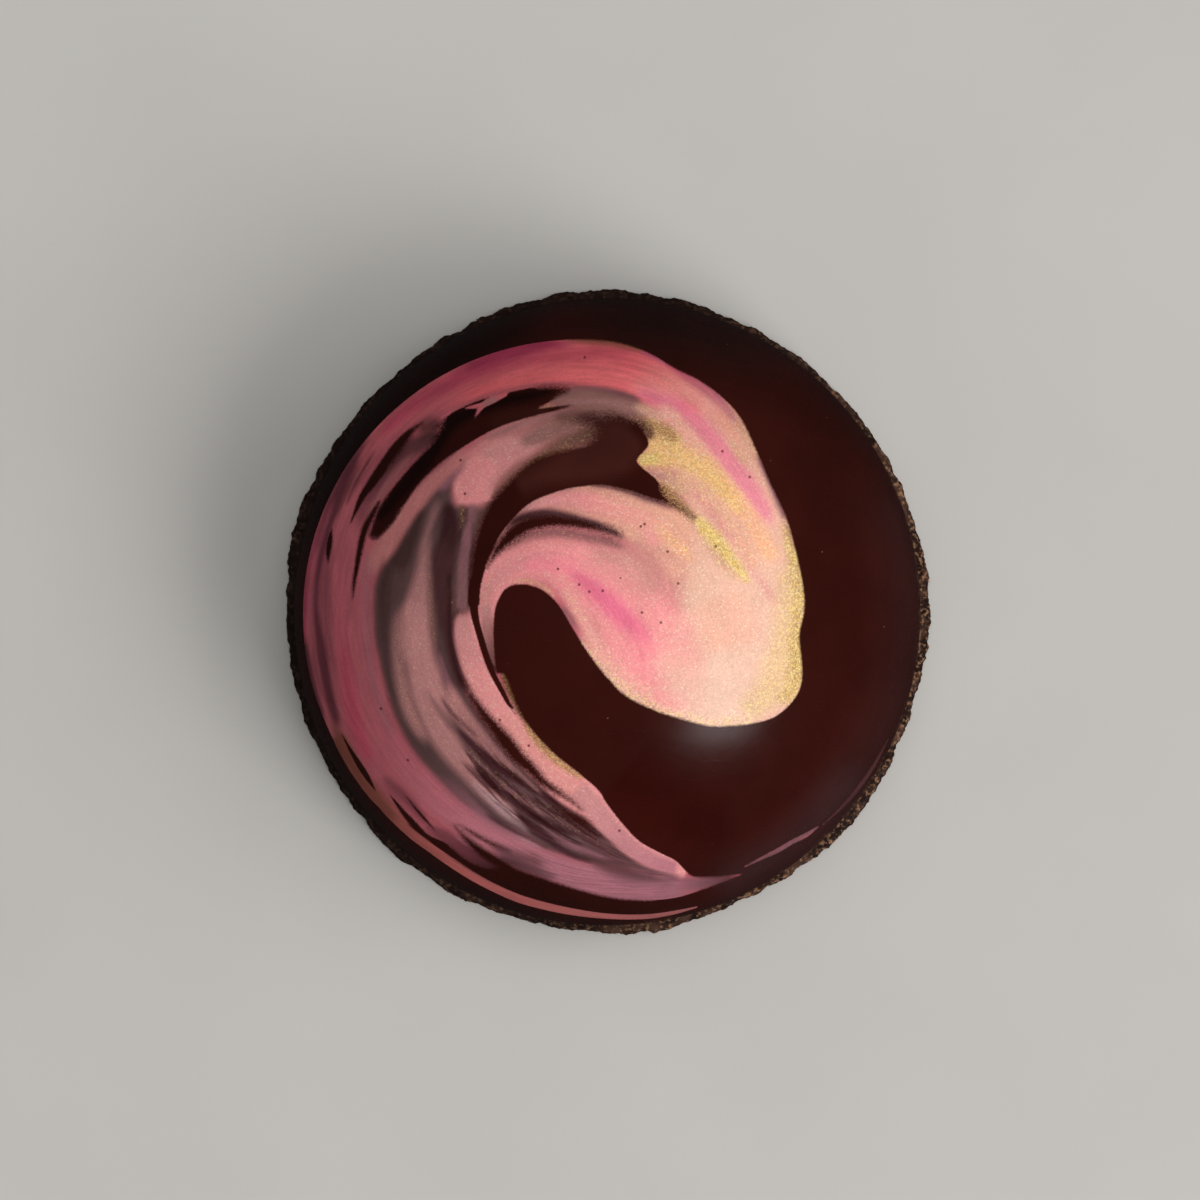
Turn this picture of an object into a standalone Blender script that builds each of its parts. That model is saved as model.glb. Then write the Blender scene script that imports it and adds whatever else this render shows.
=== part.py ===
# A half-round moulded chocolate praline, standing crown up on its flat underside.
# Two layers run right across it: the domed body that came out of the mould, and
# under it the thin layer of chocolate that closed the mould, whose ragged rim
# stands out all round as a narrow foot. What the shell may hold isn't modelled, so
# both layers are solid. Metres, +Z up, the origin on the table under the crown.

import math

import bmesh
import bpy

# Driving dimensions, in metres.
DOME_DIAMETER = 0.028
DOME_RISE = 0.0137
CLOSING_THICKNESS = 0.0006
LAYER_GAP = 0.0003
FOOT_WIDTH = 0.0005

# The foot's outer edge is widest at this share of the layer's thickness, and its
# underside is tucked in by UNDERCUT, as a thin skin of chocolate breaks off a mould.
WIDEST_SHARE = 0.45
UNDERCUT = 0.0002
LIP_ROUNDING = 0.0001
SHOULDER_INSET = 0.0001

# The broken edge: lobes round the rim, depth in metres and phase in radians.
RIM_WAVES = (
    (5, 0.00004, 0.4),
    (9, 0.00004, 1.9),
    (17, 0.00003, 4.0),
    (31, 0.00003, 2.2),
    (53, 0.00002, 5.1),
)
LIP_WAVES = (
    (4, 0.00004, 1.1),
    (11, 0.00003, 3.0),
    (23, 0.00003, 0.7),
)
LIP_DROP = 0.00012

# Facets.
DOME_SEGMENTS = 80
DOME_RINGS = 20
RIM_SEGMENTS = 160

dome_radius = DOME_DIAMETER / 2
foot_radius = dome_radius + FOOT_WIDTH
dome_base = CLOSING_THICKNESS + LAYER_GAP


def clear_scene():
    for obj in list(bpy.data.objects):
        bpy.data.objects.remove(obj, do_unlink=True)


def chocolate(name, color, roughness):
    material = bpy.data.materials.new(name)
    material.use_nodes = True
    shader = material.node_tree.nodes["Principled BSDF"]
    shader.inputs["Base Color"].default_value = (*color, 1.0)
    shader.inputs["Roughness"].default_value = roughness
    shader.inputs["Metallic"].default_value = 0.0
    return material


def add_object(name, bm, material, sharp_angle):
    bmesh.ops.recalc_face_normals(bm, faces=bm.faces)
    mesh = bpy.data.meshes.new(name)
    bm.to_mesh(mesh)
    bm.free()
    mesh.materials.append(material)
    mesh.shade_smooth()
    mesh.set_sharp_from_angle(angle=math.radians(sharp_angle))
    obj = bpy.data.objects.new(name, mesh)
    bpy.context.scene.collection.objects.link(obj)
    return obj


def waves(angle, terms):
    return sum(depth * math.sin(lobes * angle + phase) for lobes, depth, phase in terms)


def dome_shell():
    # A quarter arc from the crown to the rim, spun round the upright axis.
    bm = bmesh.new()
    arc = []
    for i in range(DOME_RINGS + 1):
        turn = math.pi / 2 * i / DOME_RINGS
        x = dome_radius * math.sin(turn)
        z = dome_base + DOME_RISE * math.cos(turn)
        arc.append(bm.verts.new((x, 0.0, z)))
    edges = [bm.edges.new(pair) for pair in zip(arc, arc[1:])]
    bmesh.ops.spin(
        bm,
        geom=arc + edges,
        cent=(0.0, 0.0, 0.0),
        axis=(0.0, 0.0, 1.0),
        angle=2 * math.pi,
        steps=DOME_SEGMENTS,
        use_merge=True,
    )
    bmesh.ops.remove_doubles(bm, verts=bm.verts, dist=0.00001)
    open_rim = [edge for edge in bm.edges if edge.is_boundary]
    bmesh.ops.contextual_create(bm, geom=open_rim)
    return add_object("dome_shell", bm, chocolate("dark_chocolate_shell", (0.035, 0.012, 0.008), 0.3), 40)


def rim_ring(bm, inset, height, lip_share):
    # One loop of the ragged rim. lip_share is how much of the lip's ups and downs it takes.
    ring = []
    for i in range(RIM_SEGMENTS):
        angle = 2 * math.pi * i / RIM_SEGMENTS
        radius = foot_radius - inset + waves(angle, RIM_WAVES)
        z = height + lip_share * (waves(angle, LIP_WAVES) - LIP_DROP)
        ring.append(bm.verts.new((radius * math.cos(angle), radius * math.sin(angle), z)))
    return ring


def round_ring(bm, radius, height):
    ring = []
    for i in range(RIM_SEGMENTS):
        angle = 2 * math.pi * i / RIM_SEGMENTS
        ring.append(bm.verts.new((radius * math.cos(angle), radius * math.sin(angle), height)))
    return ring


def bridge(bm, below, above):
    for i in range(RIM_SEGMENTS):
        j = (i + 1) % RIM_SEGMENTS
        bm.faces.new((below[i], below[j], above[j], above[i]))


def closing_layer():
    # Loops from the flat underside, out round the broken edge and in to the flat top.
    bm = bmesh.new()
    rings = [
        round_ring(bm, dome_radius - UNDERCUT, 0.0),
        rim_ring(bm, UNDERCUT, 0.0, 0.0),
        rim_ring(bm, 0.0, CLOSING_THICKNESS * WIDEST_SHARE, 0.0),
        rim_ring(bm, LIP_ROUNDING, CLOSING_THICKNESS, 1.0),
        round_ring(bm, dome_radius - SHOULDER_INSET, CLOSING_THICKNESS),
    ]
    for below, above in zip(rings, rings[1:]):
        bridge(bm, below, above)
    bm.faces.new(rings[0])
    bm.faces.new(rings[-1])
    return add_object("closing_layer", bm, chocolate("dark_chocolate_closing", (0.05, 0.02, 0.012), 0.6), 30)


clear_scene()
praline = bpy.data.objects.new("praline", None)
bpy.context.scene.collection.objects.link(praline)
for layer in (dome_shell(), closing_layer()):
    layer.parent = praline
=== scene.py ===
import math

import bpy
import numpy as np
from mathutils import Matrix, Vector


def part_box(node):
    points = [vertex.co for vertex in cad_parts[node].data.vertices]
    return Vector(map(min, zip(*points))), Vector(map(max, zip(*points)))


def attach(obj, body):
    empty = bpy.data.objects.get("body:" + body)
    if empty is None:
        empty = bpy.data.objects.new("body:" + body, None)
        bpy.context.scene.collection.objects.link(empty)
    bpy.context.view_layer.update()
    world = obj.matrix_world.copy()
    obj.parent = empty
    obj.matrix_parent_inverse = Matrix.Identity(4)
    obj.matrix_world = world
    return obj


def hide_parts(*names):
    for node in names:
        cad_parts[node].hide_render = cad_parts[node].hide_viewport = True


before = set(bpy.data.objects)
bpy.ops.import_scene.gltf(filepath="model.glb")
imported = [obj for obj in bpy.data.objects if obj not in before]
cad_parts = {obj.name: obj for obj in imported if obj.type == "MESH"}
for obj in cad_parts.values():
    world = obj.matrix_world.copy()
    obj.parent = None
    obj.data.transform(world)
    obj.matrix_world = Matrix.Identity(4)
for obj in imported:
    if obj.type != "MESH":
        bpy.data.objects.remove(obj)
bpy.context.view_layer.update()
scene = bpy.context.scene

domeLow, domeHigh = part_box("dome_shell")
mm = 0.001
domeRadius = (domeHigh.x - domeLow.x) / 2 / mm  # millimetres, as in all the painting below
crown = domeHigh.z / mm
rimHeight = domeLow.z / mm
eyeHeight = 400  # the painting is laid out as it looks from this high above the table
farAway = -9.0  # a distance outside any edge, where nothing is painted yet


def smoothPath(points, closed=False, perSpan=7):
    # a curve through the points; the columns after x and y, such as a width, run along with it
    p = np.array(points, float)
    if closed:
        ring = [np.roll(p, shift, 0) for shift in (1, 0, -1, -2)]
    else:
        q = np.vstack([2 * p[0] - p[1], p, 2 * p[-1] - p[-2]])
        ring = [q[:-3], q[1:-2], q[2:-1], q[3:]]
    a, b, c, d = (part[:, None, :] for part in ring)
    t = np.linspace(0, 1, perSpan, endpoint=False)[None, :, None]
    curve = 0.5 * (2 * b + (c - a) * t + (2 * a - 5 * b + 4 * c - d) * t**2 + (3 * b - a - 3 * c + d) * t**3)
    curve = curve.reshape(-1, p.shape[1])
    return np.vstack([curve, curve[:1] if closed else p[-1:]])


def arc(centre, radius, start, end, count):
    turns = np.radians(np.linspace(start, end, count))
    return [(centre[0] + radius * math.cos(t), centre[1] + radius * math.sin(t)) for t in turns]


def arcStroke(radius, start, end, width, count):
    # a stroke round the crown, as wide all along
    return [(x, y, width) for x, y in arc((0, 0), radius, start, end, count)]


def ease(value):
    value = np.clip(value, 0, 1)
    return value * value * (3 - 2 * value)


class Canvas:
    # the dome's points seen from above, with everything that the brush leaves on them
    def __init__(self, x, y):
        self.x, self.y = x, y
        radius = np.hypot(x, y)
        self.slope = np.sqrt(np.clip(1 - (radius / domeRadius) ** 2, 0.05, 1))
        self.outX, self.outY = x / (radius + 1e-6), y / (radius + 1e-6)
        count = len(x)
        self.film = np.full(count, farAway)  # how far inside the colour's edge, on the surface
        self.soft = np.full(count, 0.05)  # how far the edge takes to fade
        self.tint = np.zeros((count, 3))
        # the ground holds painted light and shade as well as the chocolate's colour
        self.ground = np.zeros((count, 3))  # the chocolate under the colour
        self.gold = np.zeros(count)
        self.thin = np.zeros(count)  # how far the colour breaks up into grains
        self.streak = np.zeros(count)

    def nearest(self, path, reach):
        # for the points within reach: distance to the path, how far along it, the side, and the way to it
        low, high = path[:, :2].min(0) - reach, path[:, :2].max(0) + reach
        near = (self.x > low[0]) & (self.x < high[0]) & (self.y > low[1]) & (self.y < high[1])
        near = np.nonzero(near)[0]
        x, y = self.x[near], self.y[near]
        best = np.full(len(near), 1e9)
        along = np.zeros(len(near))
        side = np.ones(len(near))
        offX = np.zeros(len(near))
        offY = np.zeros(len(near))
        for i in range(len(path) - 1):
            ax, ay = path[i, :2]
            dx, dy = path[i + 1, :2] - path[i, :2]
            share = np.clip(((x - ax) * dx + (y - ay) * dy) / (dx * dx + dy * dy + 1e-12), 0, 1)
            gapX, gapY = x - ax - share * dx, y - ay - share * dy
            gap = gapX * gapX + gapY * gapY
            closer = gap < best
            best[closer] = gap[closer]
            along[closer] = i + share[closer]
            side[closer] = np.sign(dx * gapY - dy * gapX)[closer]
            offX[closer], offY[closer] = gapX[closer], gapY[closer]
        return near, np.sqrt(best), along, side, offX, offY

    def onSurface(self, near, distance, offX, offY):
        # a distance seen from above is longer on the steep flank
        length = np.hypot(offX, offY) + 1e-9
        radial = (offX * self.outX[near] + offY * self.outY[near]) / length
        return distance * np.sqrt(radial**2 / self.slope[near] ** 2 + 1 - radial**2)

    def ribbon(self, points, reach=1.5):
        # signed distance to a ribbon of (x, y, half width), positive inside
        path = smoothPath(points)
        near, distance, along, side, offX, offY = self.nearest(path, reach + path[:, 2].max())
        width = np.interp(along, np.arange(len(path)), path[:, 2])
        return near, self.onSurface(near, width - distance, offX, offY)

    def area(self, outline, reach=3.0):
        # signed distance to a closed outline, positive inside
        path = smoothPath(outline, closed=True)
        near, distance, along, side, offX, offY = self.nearest(path, reach)
        x, y = self.x[near], self.y[near]
        inside = np.zeros(len(near), bool)
        for (ax, ay), (bx, by) in zip(path[:-1, :2], path[1:, :2]):
            if ay != by:
                crosses = ((ay > y) != (by > y)) & (x < ax + (y - ay) / (by - ay) * (bx - ax))
                inside ^= crosses
        return near, self.onSurface(near, np.where(inside, distance, -distance), offX, offY)

    def lay(self, shape, soft):
        near, inside = shape
        more = inside > self.film[near]
        self.film[near[more]] = inside[more]
        self.soft[near[more]] = soft

    def leaveBare(self, shape, soft):
        near, inside = shape
        less = -inside < self.film[near]
        self.film[near[less]] = -inside[less]
        self.soft[near[less]] = soft

    def brush(self, tint, fade, path, strength=1.0, ends=0.5, ground=False, **marks):
        # a soft stroke of (x, y, half width); ends is how long it takes to come and go, in millimetres
        curve = smoothPath(path)
        near, distance, along, side, offX, offY = self.nearest(curve, curve[:, 2].max() + fade)
        steps = np.hypot(*np.diff(curve[:, :2], axis=0).T)
        run = np.concatenate([[0], np.cumsum(steps)])
        at = np.interp(along, np.arange(len(run)), run)
        width = np.interp(along, np.arange(len(curve)), curve[:, 2])
        mark = ease((width - distance) / fade + 0.5) * strength
        if ends > 0:
            mark *= ease(at / ends) * ease((run[-1] - at) / ends)
        if tint:
            names = tint.split(" to ")
            first, last = palette[names[0]], palette[names[-1]]
            wanted = first + (last - first) * (at / run[-1])[:, None]
            layer = self.ground if ground else self.tint
            layer[near] += (wanted - layer[near]) * mark[:, None]
        for name, wanted in marks.items():
            layer = getattr(self, name)
            layer[near] += (wanted - layer[near]) * mark

    def wash(self, tint, fade, outline, strength=1.0):
        near, inside = self.area(outline)
        mark = ease(inside / fade + 0.5) * strength
        self.tint[near] += (palette[tint] - self.tint[near]) * mark[:, None]


def nearness(height):
    # the crown is nearer to the eye, so it looks a little larger than the rim
    return (eyeHeight - rimHeight) / (eyeHeight - height)


def ontoDome(x, y):
    # from the painting's layout back to the dome's own millimetres
    near = 1.0
    for step in range(3):
        across = min(math.hypot(x, y) / near / domeRadius, 1)
        near = nearness(rimHeight + (crown - rimHeight) * math.sqrt(1 - across**2))
    return x / near, y / near


def linear(red, green, blue):
    parts = np.array([red, green, blue], float) / 255
    return np.where(parts <= 0.04045, parts / 12.92, ((parts + 0.055) / 1.055) ** 2.4)


# The colours as a paint shop would mix them, red, green and blue out of 255.
palette = {
    name: linear(*mix)
    for name, mix in {
        # the chocolate itself, then painted light and shade on it: lighter, redder and with a greyish sheen
        # on the lit right and near side and in the hook, darker at the top and upper left in shade
        "dark": (52, 15, 10), "red": (50, 9, 5), "upperLeftShade": (27, 8, 6), "topShade": (36, 17, 14),
        "hookSheen": (68, 29, 23), "lowerRightSheen": (56, 32, 32), "flank": (50, 23, 21),
        # deep and rosy
        "wine": (119, 55, 67), "dullRose": (167, 84, 97), "deepMagenta": (174, 54, 86),
        "magenta": (198, 74, 99), "deepRose": (208, 82, 105), "rose": (200, 102, 112),
        "rosePink": (208, 120, 133), "coralRose": (214, 82, 98), "coral": (236, 102, 108),
        "salmon": (250, 125, 127), "orchid": (186, 86, 110), "dustyRose": (207, 125, 124),
        # pinks and creams
        "hotPink": (239, 118, 145), "orchidPink": (240, 136, 158), "pink": (250, 141, 151),
        "bodyPink": (245, 150, 151), "duskyPink": (226, 148, 145), "softPink": (241, 166, 156),
        "apricot": (232, 168, 142), "peach": (244, 180, 138), "shellPeach": (236, 176, 152),
        "cream": (234, 188, 166), "goldCream": (224, 184, 140), "tanPink": (208, 142, 133),
        "sand": (216, 164, 132),
        # golds and browns
        "goldPaint": (238, 188, 120), "paleGold": (228, 192, 116), "edgeGold": (202, 165, 110),
        "oldGold": (190, 140, 98), "umber": (118, 80, 70), "tan": (138, 76, 60), "bronze": (118, 76, 54),
        # the tail and its dusky colours
        "tail": (241, 153, 152), "tailPeach": (234, 151, 146), "silverPink": (213, 143, 141),
        "greyPink": (166, 115, 113), "ash": (146, 98, 101), "beigeGrey": (152, 104, 97),
        "lilac": (166, 106, 118), "lightLilac": (190, 118, 131), "mist": (188, 146, 150),
        "smokeLilac": (120, 79, 83), "smoke": (100, 70, 70), "darkSmoke": (80, 53, 51),
        "plum": (84, 48, 49), "purple": (78, 42, 48), "darkPlum": (62, 28, 31),
        "salmonLine": (214, 112, 108), "paleLine": (168, 100, 100),
    }.items()
}

# The swirl's outer edge, stretch by stretch.
swirl = {
    "headSide": [
        (8.66, -3.2), (8.68, -2.2), (8.57, -1.25), (8.62, -0.7), (8.76, -0.1), (8.8, 0.6), (8.68, 1.5),
        (8.4, 2.8), (8.0, 4.2), (7.3, 5.7), (6.7, 7.1), (6.0, 8.6), (5.2, 9.55), (4.1, 10.35),
        (3.0, 10.9), (1.8, 11.6),
    ],
    "outerArc": arc((-1.3, -0.1), 12.28, 83, 207, 13),
    "foot": [
        (-11.6, -6.9), (-11.1, -7.65), (-10.6, -8.3), (-10.1, -8.8), (-9.5, -9.3), (-9.05, -9.5),
        (-8.75, -9.48), (-8.35, -9.62), (-7.9, -9.98), (-7.2, -10.32), (-6.5, -10.87), (-5.8, -11.27),
        (-5.15, -11.45), (-4.7, -11.2), (-3.6, -11.6), (-2.0, -12.15), (-1.0, -12.45), (0.0, -12.7),
        (1.0, -12.83), (2.2, -12.85), (3.2, -12.72), (4.2, -12.4), (5.6, -11.87), (6.0, -11.7),
        (5.0, -11.82), (3.9, -11.82), (3.5, -11.55), (3.05, -11.1),
    ],
    "tailSide": [
        (2.3, -10.72), (1.4, -10.2), (0.6, -9.35), (-0.05, -8.5), (-0.4, -7.95), (-1.2, -7.25),
        (-2.4, -6.3), (-3.5, -5.1), (-4.1, -4.05), (-4.45, -3.1), (-4.65, -2.75), (-4.95, -2.6),
        (-5.08, -1.3), (-5.06, -0.2),
    ],
    "teardrop": [
        (-4.9, 0.5), (-4.5, 1.1), (-3.9, 1.27), (-3.3, 1.18), (-2.7, 0.88), (-2.1, 0.25), (-1.5, -0.75),
        (-0.8, -1.85), (0.1, -3.0), (0.9, -3.75), (2.1, -4.35), (3.5, -4.8), (4.6, -5.06), (5.6, -5.05),
        (6.6, -4.93), (7.5, -4.65), (8.25, -4.0),
    ],
}

# Places left bare inside it, each with the softness of its edge.
bareAreas = [
    # the hook between the head and the second stroke
    (0.05, [
        (-6.2, 0.3), (-6.18, 1.4), (-6.08, 2.5), (-5.9, 3.3), (-5.55, 4.3), (-5.2, 5.0), (-4.5, 5.8),
        (-3.5, 6.7), (-2.5, 7.12), (-1.6, 7.32), (-1.0, 7.5), (-0.7, 7.9), (-0.75, 8.3), (-1.2, 8.62),
        (-0.6, 8.88), (0.2, 8.9), (0.8, 8.78), (1.15, 8.62), (1.5, 8.45), (1.75, 8.1), (1.85, 7.5),
        (1.6, 7.15), (1.33, 6.78), (1.6, 6.45), (2.15, 6.0), (2.45, 5.6), (2.75, 5.1), (3.25, 4.6),
        (2.6, 4.85), (1.8, 5.1), (0.9, 5.4), (-0.3, 5.64), (-1.5, 5.58), (-2.6, 5.27), (-3.42, 4.9),
        (-4.15, 4.25), (-4.8, 3.42), (-5.19, 2.62), (-5.49, 1.8), (-5.67, 1.0), (-5.74, 0.3),
    ]),
    # the long slot under the top band, down to where it runs out at the left
    (0.07, [
        (-1.7, 10.02), (-2.4, 10.12), (-3.3, 10.06), (-4.3, 9.86), (-5.6, 9.52), (-6.7, 9.05), (-7.3, 8.62),
        (-7.5, 8.25), (-7.85, 7.6), (-8.4, 6.95), (-8.9, 6.4), (-9.4, 5.8), (-9.9, 5.15), (-10.3, 4.5),
        (-10.55, 3.8), (-10.62, 3.35), (-10.2, 3.3), (-9.55, 4.0), (-9.05, 4.8), (-8.5, 5.6), (-8.0, 6.15),
        (-7.5, 6.6), (-7.0, 7.0), (-6.0, 7.65), (-5.0, 8.2), (-4.0, 8.56), (-3.0, 8.84), (-2.0, 9.08),
        (-1.5, 9.27), (-2.2, 9.22), (-3.08, 9.12), (-2.6, 9.38), (-2.1, 9.66), (-1.7, 9.88),
    ]),
]

bareRibbons = [
    # the crescent
    (0.2, [
        (-5.38, 2.0, 0.04), (-5.0, 2.66, 0.16), (-4.45, 3.3, 0.29), (-4.0, 3.68, 0.34), (-3.4, 3.96, 0.33),
        (-2.5, 4.09, 0.28), (-1.6, 4.02, 0.24), (-0.8, 3.88, 0.18), (0.0, 3.68, 0.1), (0.5, 3.5, 0.02),
    ]),
    # between the tail and the second stroke
    (0.04, [
        (-5.98, 0.5, 0.2), (-5.9, -0.2, 0.17), (-5.72, -0.9, 0.15), (-5.42, -1.9, 0.15),
        (-5.12, -2.7, 0.13), (-4.75, -3.4, 0.12), (-4.4, -4.05, 0.1), (-4.08, -4.55, 0.03),
    ]),
    # above the upper left strand, and on down
    (0.12, [
        (-8.3, 8.45, 0.04), (-8.75, 8.08, 0.15), (-9.1, 7.7, 0.22), (-9.5, 7.2, 0.26), (-9.9, 6.65, 0.24),
        (-10.25, 6.15, 0.23), (-10.6, 5.65, 0.2), (-10.95, 5.15, 0.15), (-11.2, 4.6, 0.1),
        (-11.45, 4.0, 0.03),
    ]),
    (0.14, [(-12.3, 3.7, 0.03), (-12.38, 3.2, 0.12), (-12.45, 2.7, 0.11), (-12.47, 2.2, 0.02)]),
    (0.12, [
        (-10.2, 4.9, 0.08), (-10.47, 4.4, 0.13), (-10.82, 3.7, 0.15), (-11.02, 2.95, 0.14),
        (-11.2, 1.95, 0.11), (-11.32, 1.2, 0.07), (-11.38, 0.6, 0.02),
    ]),
    # wedges along the near side
    (0.07, [
        (-11.85, -5.45, 0.02), (-11.5, -6.1, 0.07), (-11.15, -6.68, 0.12), (-10.85, -7.15, 0.13),
        (-10.6, -7.55, 0.09), (-10.35, -7.95, 0.02),
    ]),
    (0.08, [
        (-9.7, -8.15, 0.02), (-9.4, -8.55, 0.07), (-9.05, -9.0, 0.12), (-8.7, -9.4, 0.15),
        (-8.3, -9.8, 0.12),
    ]),
    (0.1, [
        (-8.95, -8.25, 0.02), (-8.6, -8.7, 0.05), (-8.3, -9.05, 0.06), (-8.0, -9.4, 0.05),
        (-7.7, -9.7, 0.02),
    ]),
    (0.3, [
        (-6.8, -9.55, 0.02), (-6.4, -10.02, 0.1), (-5.95, -10.45, 0.16), (-5.4, -10.85, 0.2),
        (-4.8, -11.2, 0.2), (-4.1, -11.6, 0.16), (-3.2, -12.0, 0.08),
    ]),
    (0.25, [
        (-6.6, -9.5, 0.01), (-6.1, -9.8, 0.07), (-5.6, -10.1, 0.08), (-5.0, -10.4, 0.06),
        (-4.4, -10.65, 0.02),
    ]),
    # beside the tail
    (0.24, [
        (-6.45, -2.9, 0.03), (-6.02, -3.8, 0.16), (-5.56, -4.5, 0.23), (-5.12, -5.05, 0.28),
        (-4.72, -5.55, 0.33), (-4.35, -6.0, 0.36), (-3.95, -6.5, 0.33), (-3.4, -7.0, 0.28),
        (-2.95, -7.5, 0.22), (-2.4, -7.9, 0.17), (-1.9, -8.22, 0.12), (-1.5, -8.5, 0.08),
        (-1.15, -8.82, 0.02),
    ]),
    (0.3, [
        (-2.4, -8.7, 0.03), (-1.75, -9.05, 0.14), (-1.2, -9.3, 0.2), (-0.8, -9.6, 0.16),
        (-0.4, -10.0, 0.04),
    ]),
]

filmRibbons = [
    # the small tongue across the long slot
    (0.06, [
        (-4.6, 9.8, 0.16), (-5.1, 9.5, 0.15), (-5.55, 9.25, 0.12), (-5.8, 8.9, 0.06), (-5.9, 8.7, 0.02),
    ]),
    (0.06, [(-5.4, 9.32, 0.1), (-5.8, 9.22, 0.09), (-6.3, 9.12, 0.03)]),
    # the line low down on the near side
    (0.06, [
        (-12.2, -5.3, 0.03), (-11.85, -6.05, 0.09), (-11.4, -6.92, 0.1), (-10.8, -7.82, 0.11),
        (-10.12, -8.6, 0.13), (-9.6, -9.12, 0.17), (-8.7, -9.92, 0.2), (-7.9, -10.52, 0.19),
        (-7.0, -11.15, 0.2), (-6.0, -11.8, 0.19), (-5.0, -12.33, 0.18), (-4.0, -12.77, 0.18),
        (-3.0, -13.07, 0.17), (-2.0, -13.3, 0.16), (-1.0, -13.47, 0.14), (0.0, -13.58, 0.12),
        (1.0, -13.62, 0.11), (2.0, -13.58, 0.1), (3.0, -13.42, 0.08), (4.0, -13.18, 0.03),
    ]),
    # the broken line low down at the right
    (0.1, [
        (6.2, -11.35, 0.02), (7.0, -10.95, 0.06), (7.6, -10.66, 0.09), (8.3, -10.25, 0.09),
        (8.9, -9.95, 0.09), (9.4, -9.6, 0.03),
    ]),
    (0.15, [
        (9.7, -9.45, 0.02), (10.5, -8.7, 0.06), (11.2, -7.9, 0.08), (11.9, -6.9, 0.07), (12.5, -5.8, 0.02),
    ]),
]


def paintGround(c):
    c.ground[:] = palette["dark"]
    # painted light and shade on the bare chocolate: lighter on the lit right side, redder low down where the
    # light comes in, a painted greyish sheen low on the right, darker at the top and upper left in shade
    c.brush("flank", 3.0, arcStroke(13.4, -50, 30, 0.8, 7), ground=True, ends=3)
    c.brush("red", 3.0, [(0.5, -7.0, 1.8), (3.0, -9.0, 1.8), (5.5, -9.5, 1.2)], strength=0.8, ground=True)
    c.brush("lowerRightSheen", 2.0, arcStroke(13.2, -72, -28, 0.7, 6), strength=0.9, ground=True, ends=2)
    c.brush("topShade", 3.0, arcStroke(13.0, 48, 100, 0.8, 7), ground=True, ends=4)
    c.brush("upperLeftShade", 3.0, arcStroke(13.2, 95, 175, 0.8, 9), ground=True, ends=4)
    # a painted sheen in the hook, lighter brown where the light is mirrored
    c.brush("hookSheen", 1.0, [
        (1.2, 8.3, 0.6), (0.3, 7.4, 1.2), (-1.2, 6.7, 0.9), (-2.8, 6.2, 0.5), (-4.2, 5.6, 0.4),
    ], ground=True)
    c.brush("plum", 0.5, [
        (-1.1, 8.75, 0.15), (-0.4, 8.72, 0.2), (0.3, 8.5, 0.15),
    ], strength=0.6, ground=True)
    c.brush("umber", 0.5, [
        (-2.4, 8.95, 0.1), (-3.4, 8.9, 0.25), (-4.4, 8.7, 0.3), (-5.4, 8.3, 0.2),
    ], strength=0.04, ground=True)
    # painted shade along the long slot, darkest towards the upper left
    c.brush("upperLeftShade", 0.5, [
        (-2.2, 10.0, 0.1), (-3.4, 9.7, 0.25), (-4.8, 9.4, 0.25), (-6.2, 8.9, 0.3), (-7.2, 8.3, 0.4),
        (-8.2, 6.7, 0.4), (-9.4, 5.2, 0.3), (-10.4, 4.0, 0.2),
    ], ground=True)


def paintBase(c):
    c.tint[:] = palette["rose"]
    c.brush("apricot to cream", 2.0, [
        (3.6, 8.4, 1.6), (5.4, 5.6, 2.2), (6.2, 2.4, 3.0), (6.2, -1.5, 3.4), (5.0, -3.2, 2.8),
    ], ends=0)
    c.brush("bodyPink", 1.2, [
        (-5.6, -0.4, 0.7), (-5.3, 1.0, 0.9), (-4.2, 2.3, 1.1), (-2.6, 2.6, 1.3), (-0.8, 1.9, 1.6),
        (0.8, 0.4, 1.8), (1.8, -1.6, 2.0), (2.4, -3.2, 1.6),
    ], ends=0)
    c.brush("dustyRose to apricot", 0.6, [
        (-5.2, 2.9, 0.4), (-4.0, 4.3, 0.6), (-2.4, 4.9, 0.8), (-0.6, 4.9, 1.0), (1.2, 4.3, 1.1),
        (2.8, 3.6, 1.0),
    ], ends=0)
    c.brush("umber to bodyPink", 0.6, [
        (0.4, 8.6, 0.9), (-1.2, 8.4, 1.2), (-3.0, 7.9, 1.3), (-4.6, 7.0, 1.2), (-5.8, 5.9, 1.1),
        (-6.1, 4.9, 0.8),
    ], ends=0)
    c.wash("smoke", 0.7, [
        (-7.6, 5.75), (-8.2, 5.0), (-8.9, 3.9), (-9.35, 3.0), (-9.8, 2.4), (-10.2, 1.6), (-10.4, 0.8),
        (-10.4, -1.0), (-10.2, -2.0), (-9.95, -3.0), (-9.65, -4.0), (-9.2, -5.0), (-8.65, -6.0),
        (-7.85, -7.2), (-7.0, -8.1), (-6.0, -8.85), (-4.7, -9.8), (-3.6, -10.35), (-2.2, -10.8),
        (-1.0, -11.15), (0.4, -11.4), (1.4, -11.6), (0.4, -10.6), (-0.6, -9.5), (-2.0, -8.3), (-3.5, -7.0),
        (-5.0, -5.4), (-6.2, -3.6), (-6.7, -1.8), (-6.7, -0.3), (-5.9, 0.3), (-5.9, 2.3), (-5.5, 4.0),
        (-5.0, 4.7), (-6.2, 4.75), (-6.85, 5.0), (-6.9, 6.2),
    ])
    c.brush("tail", 0.3, [
        (-6.4, -0.2, 0.45), (-6.3, -1.4, 0.55), (-6.0, -2.4, 0.6), (-5.5, -3.4, 0.65), (-4.7, -4.6, 0.75),
        (-3.6, -5.9, 0.85), (-2.4, -7.1, 0.85), (-1.2, -8.2, 0.85), (-0.2, -9.4, 0.8), (0.9, -10.4, 0.8),
        (2.2, -11.1, 0.7), (3.6, -11.5, 0.5),
    ], ends=0.1)


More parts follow.
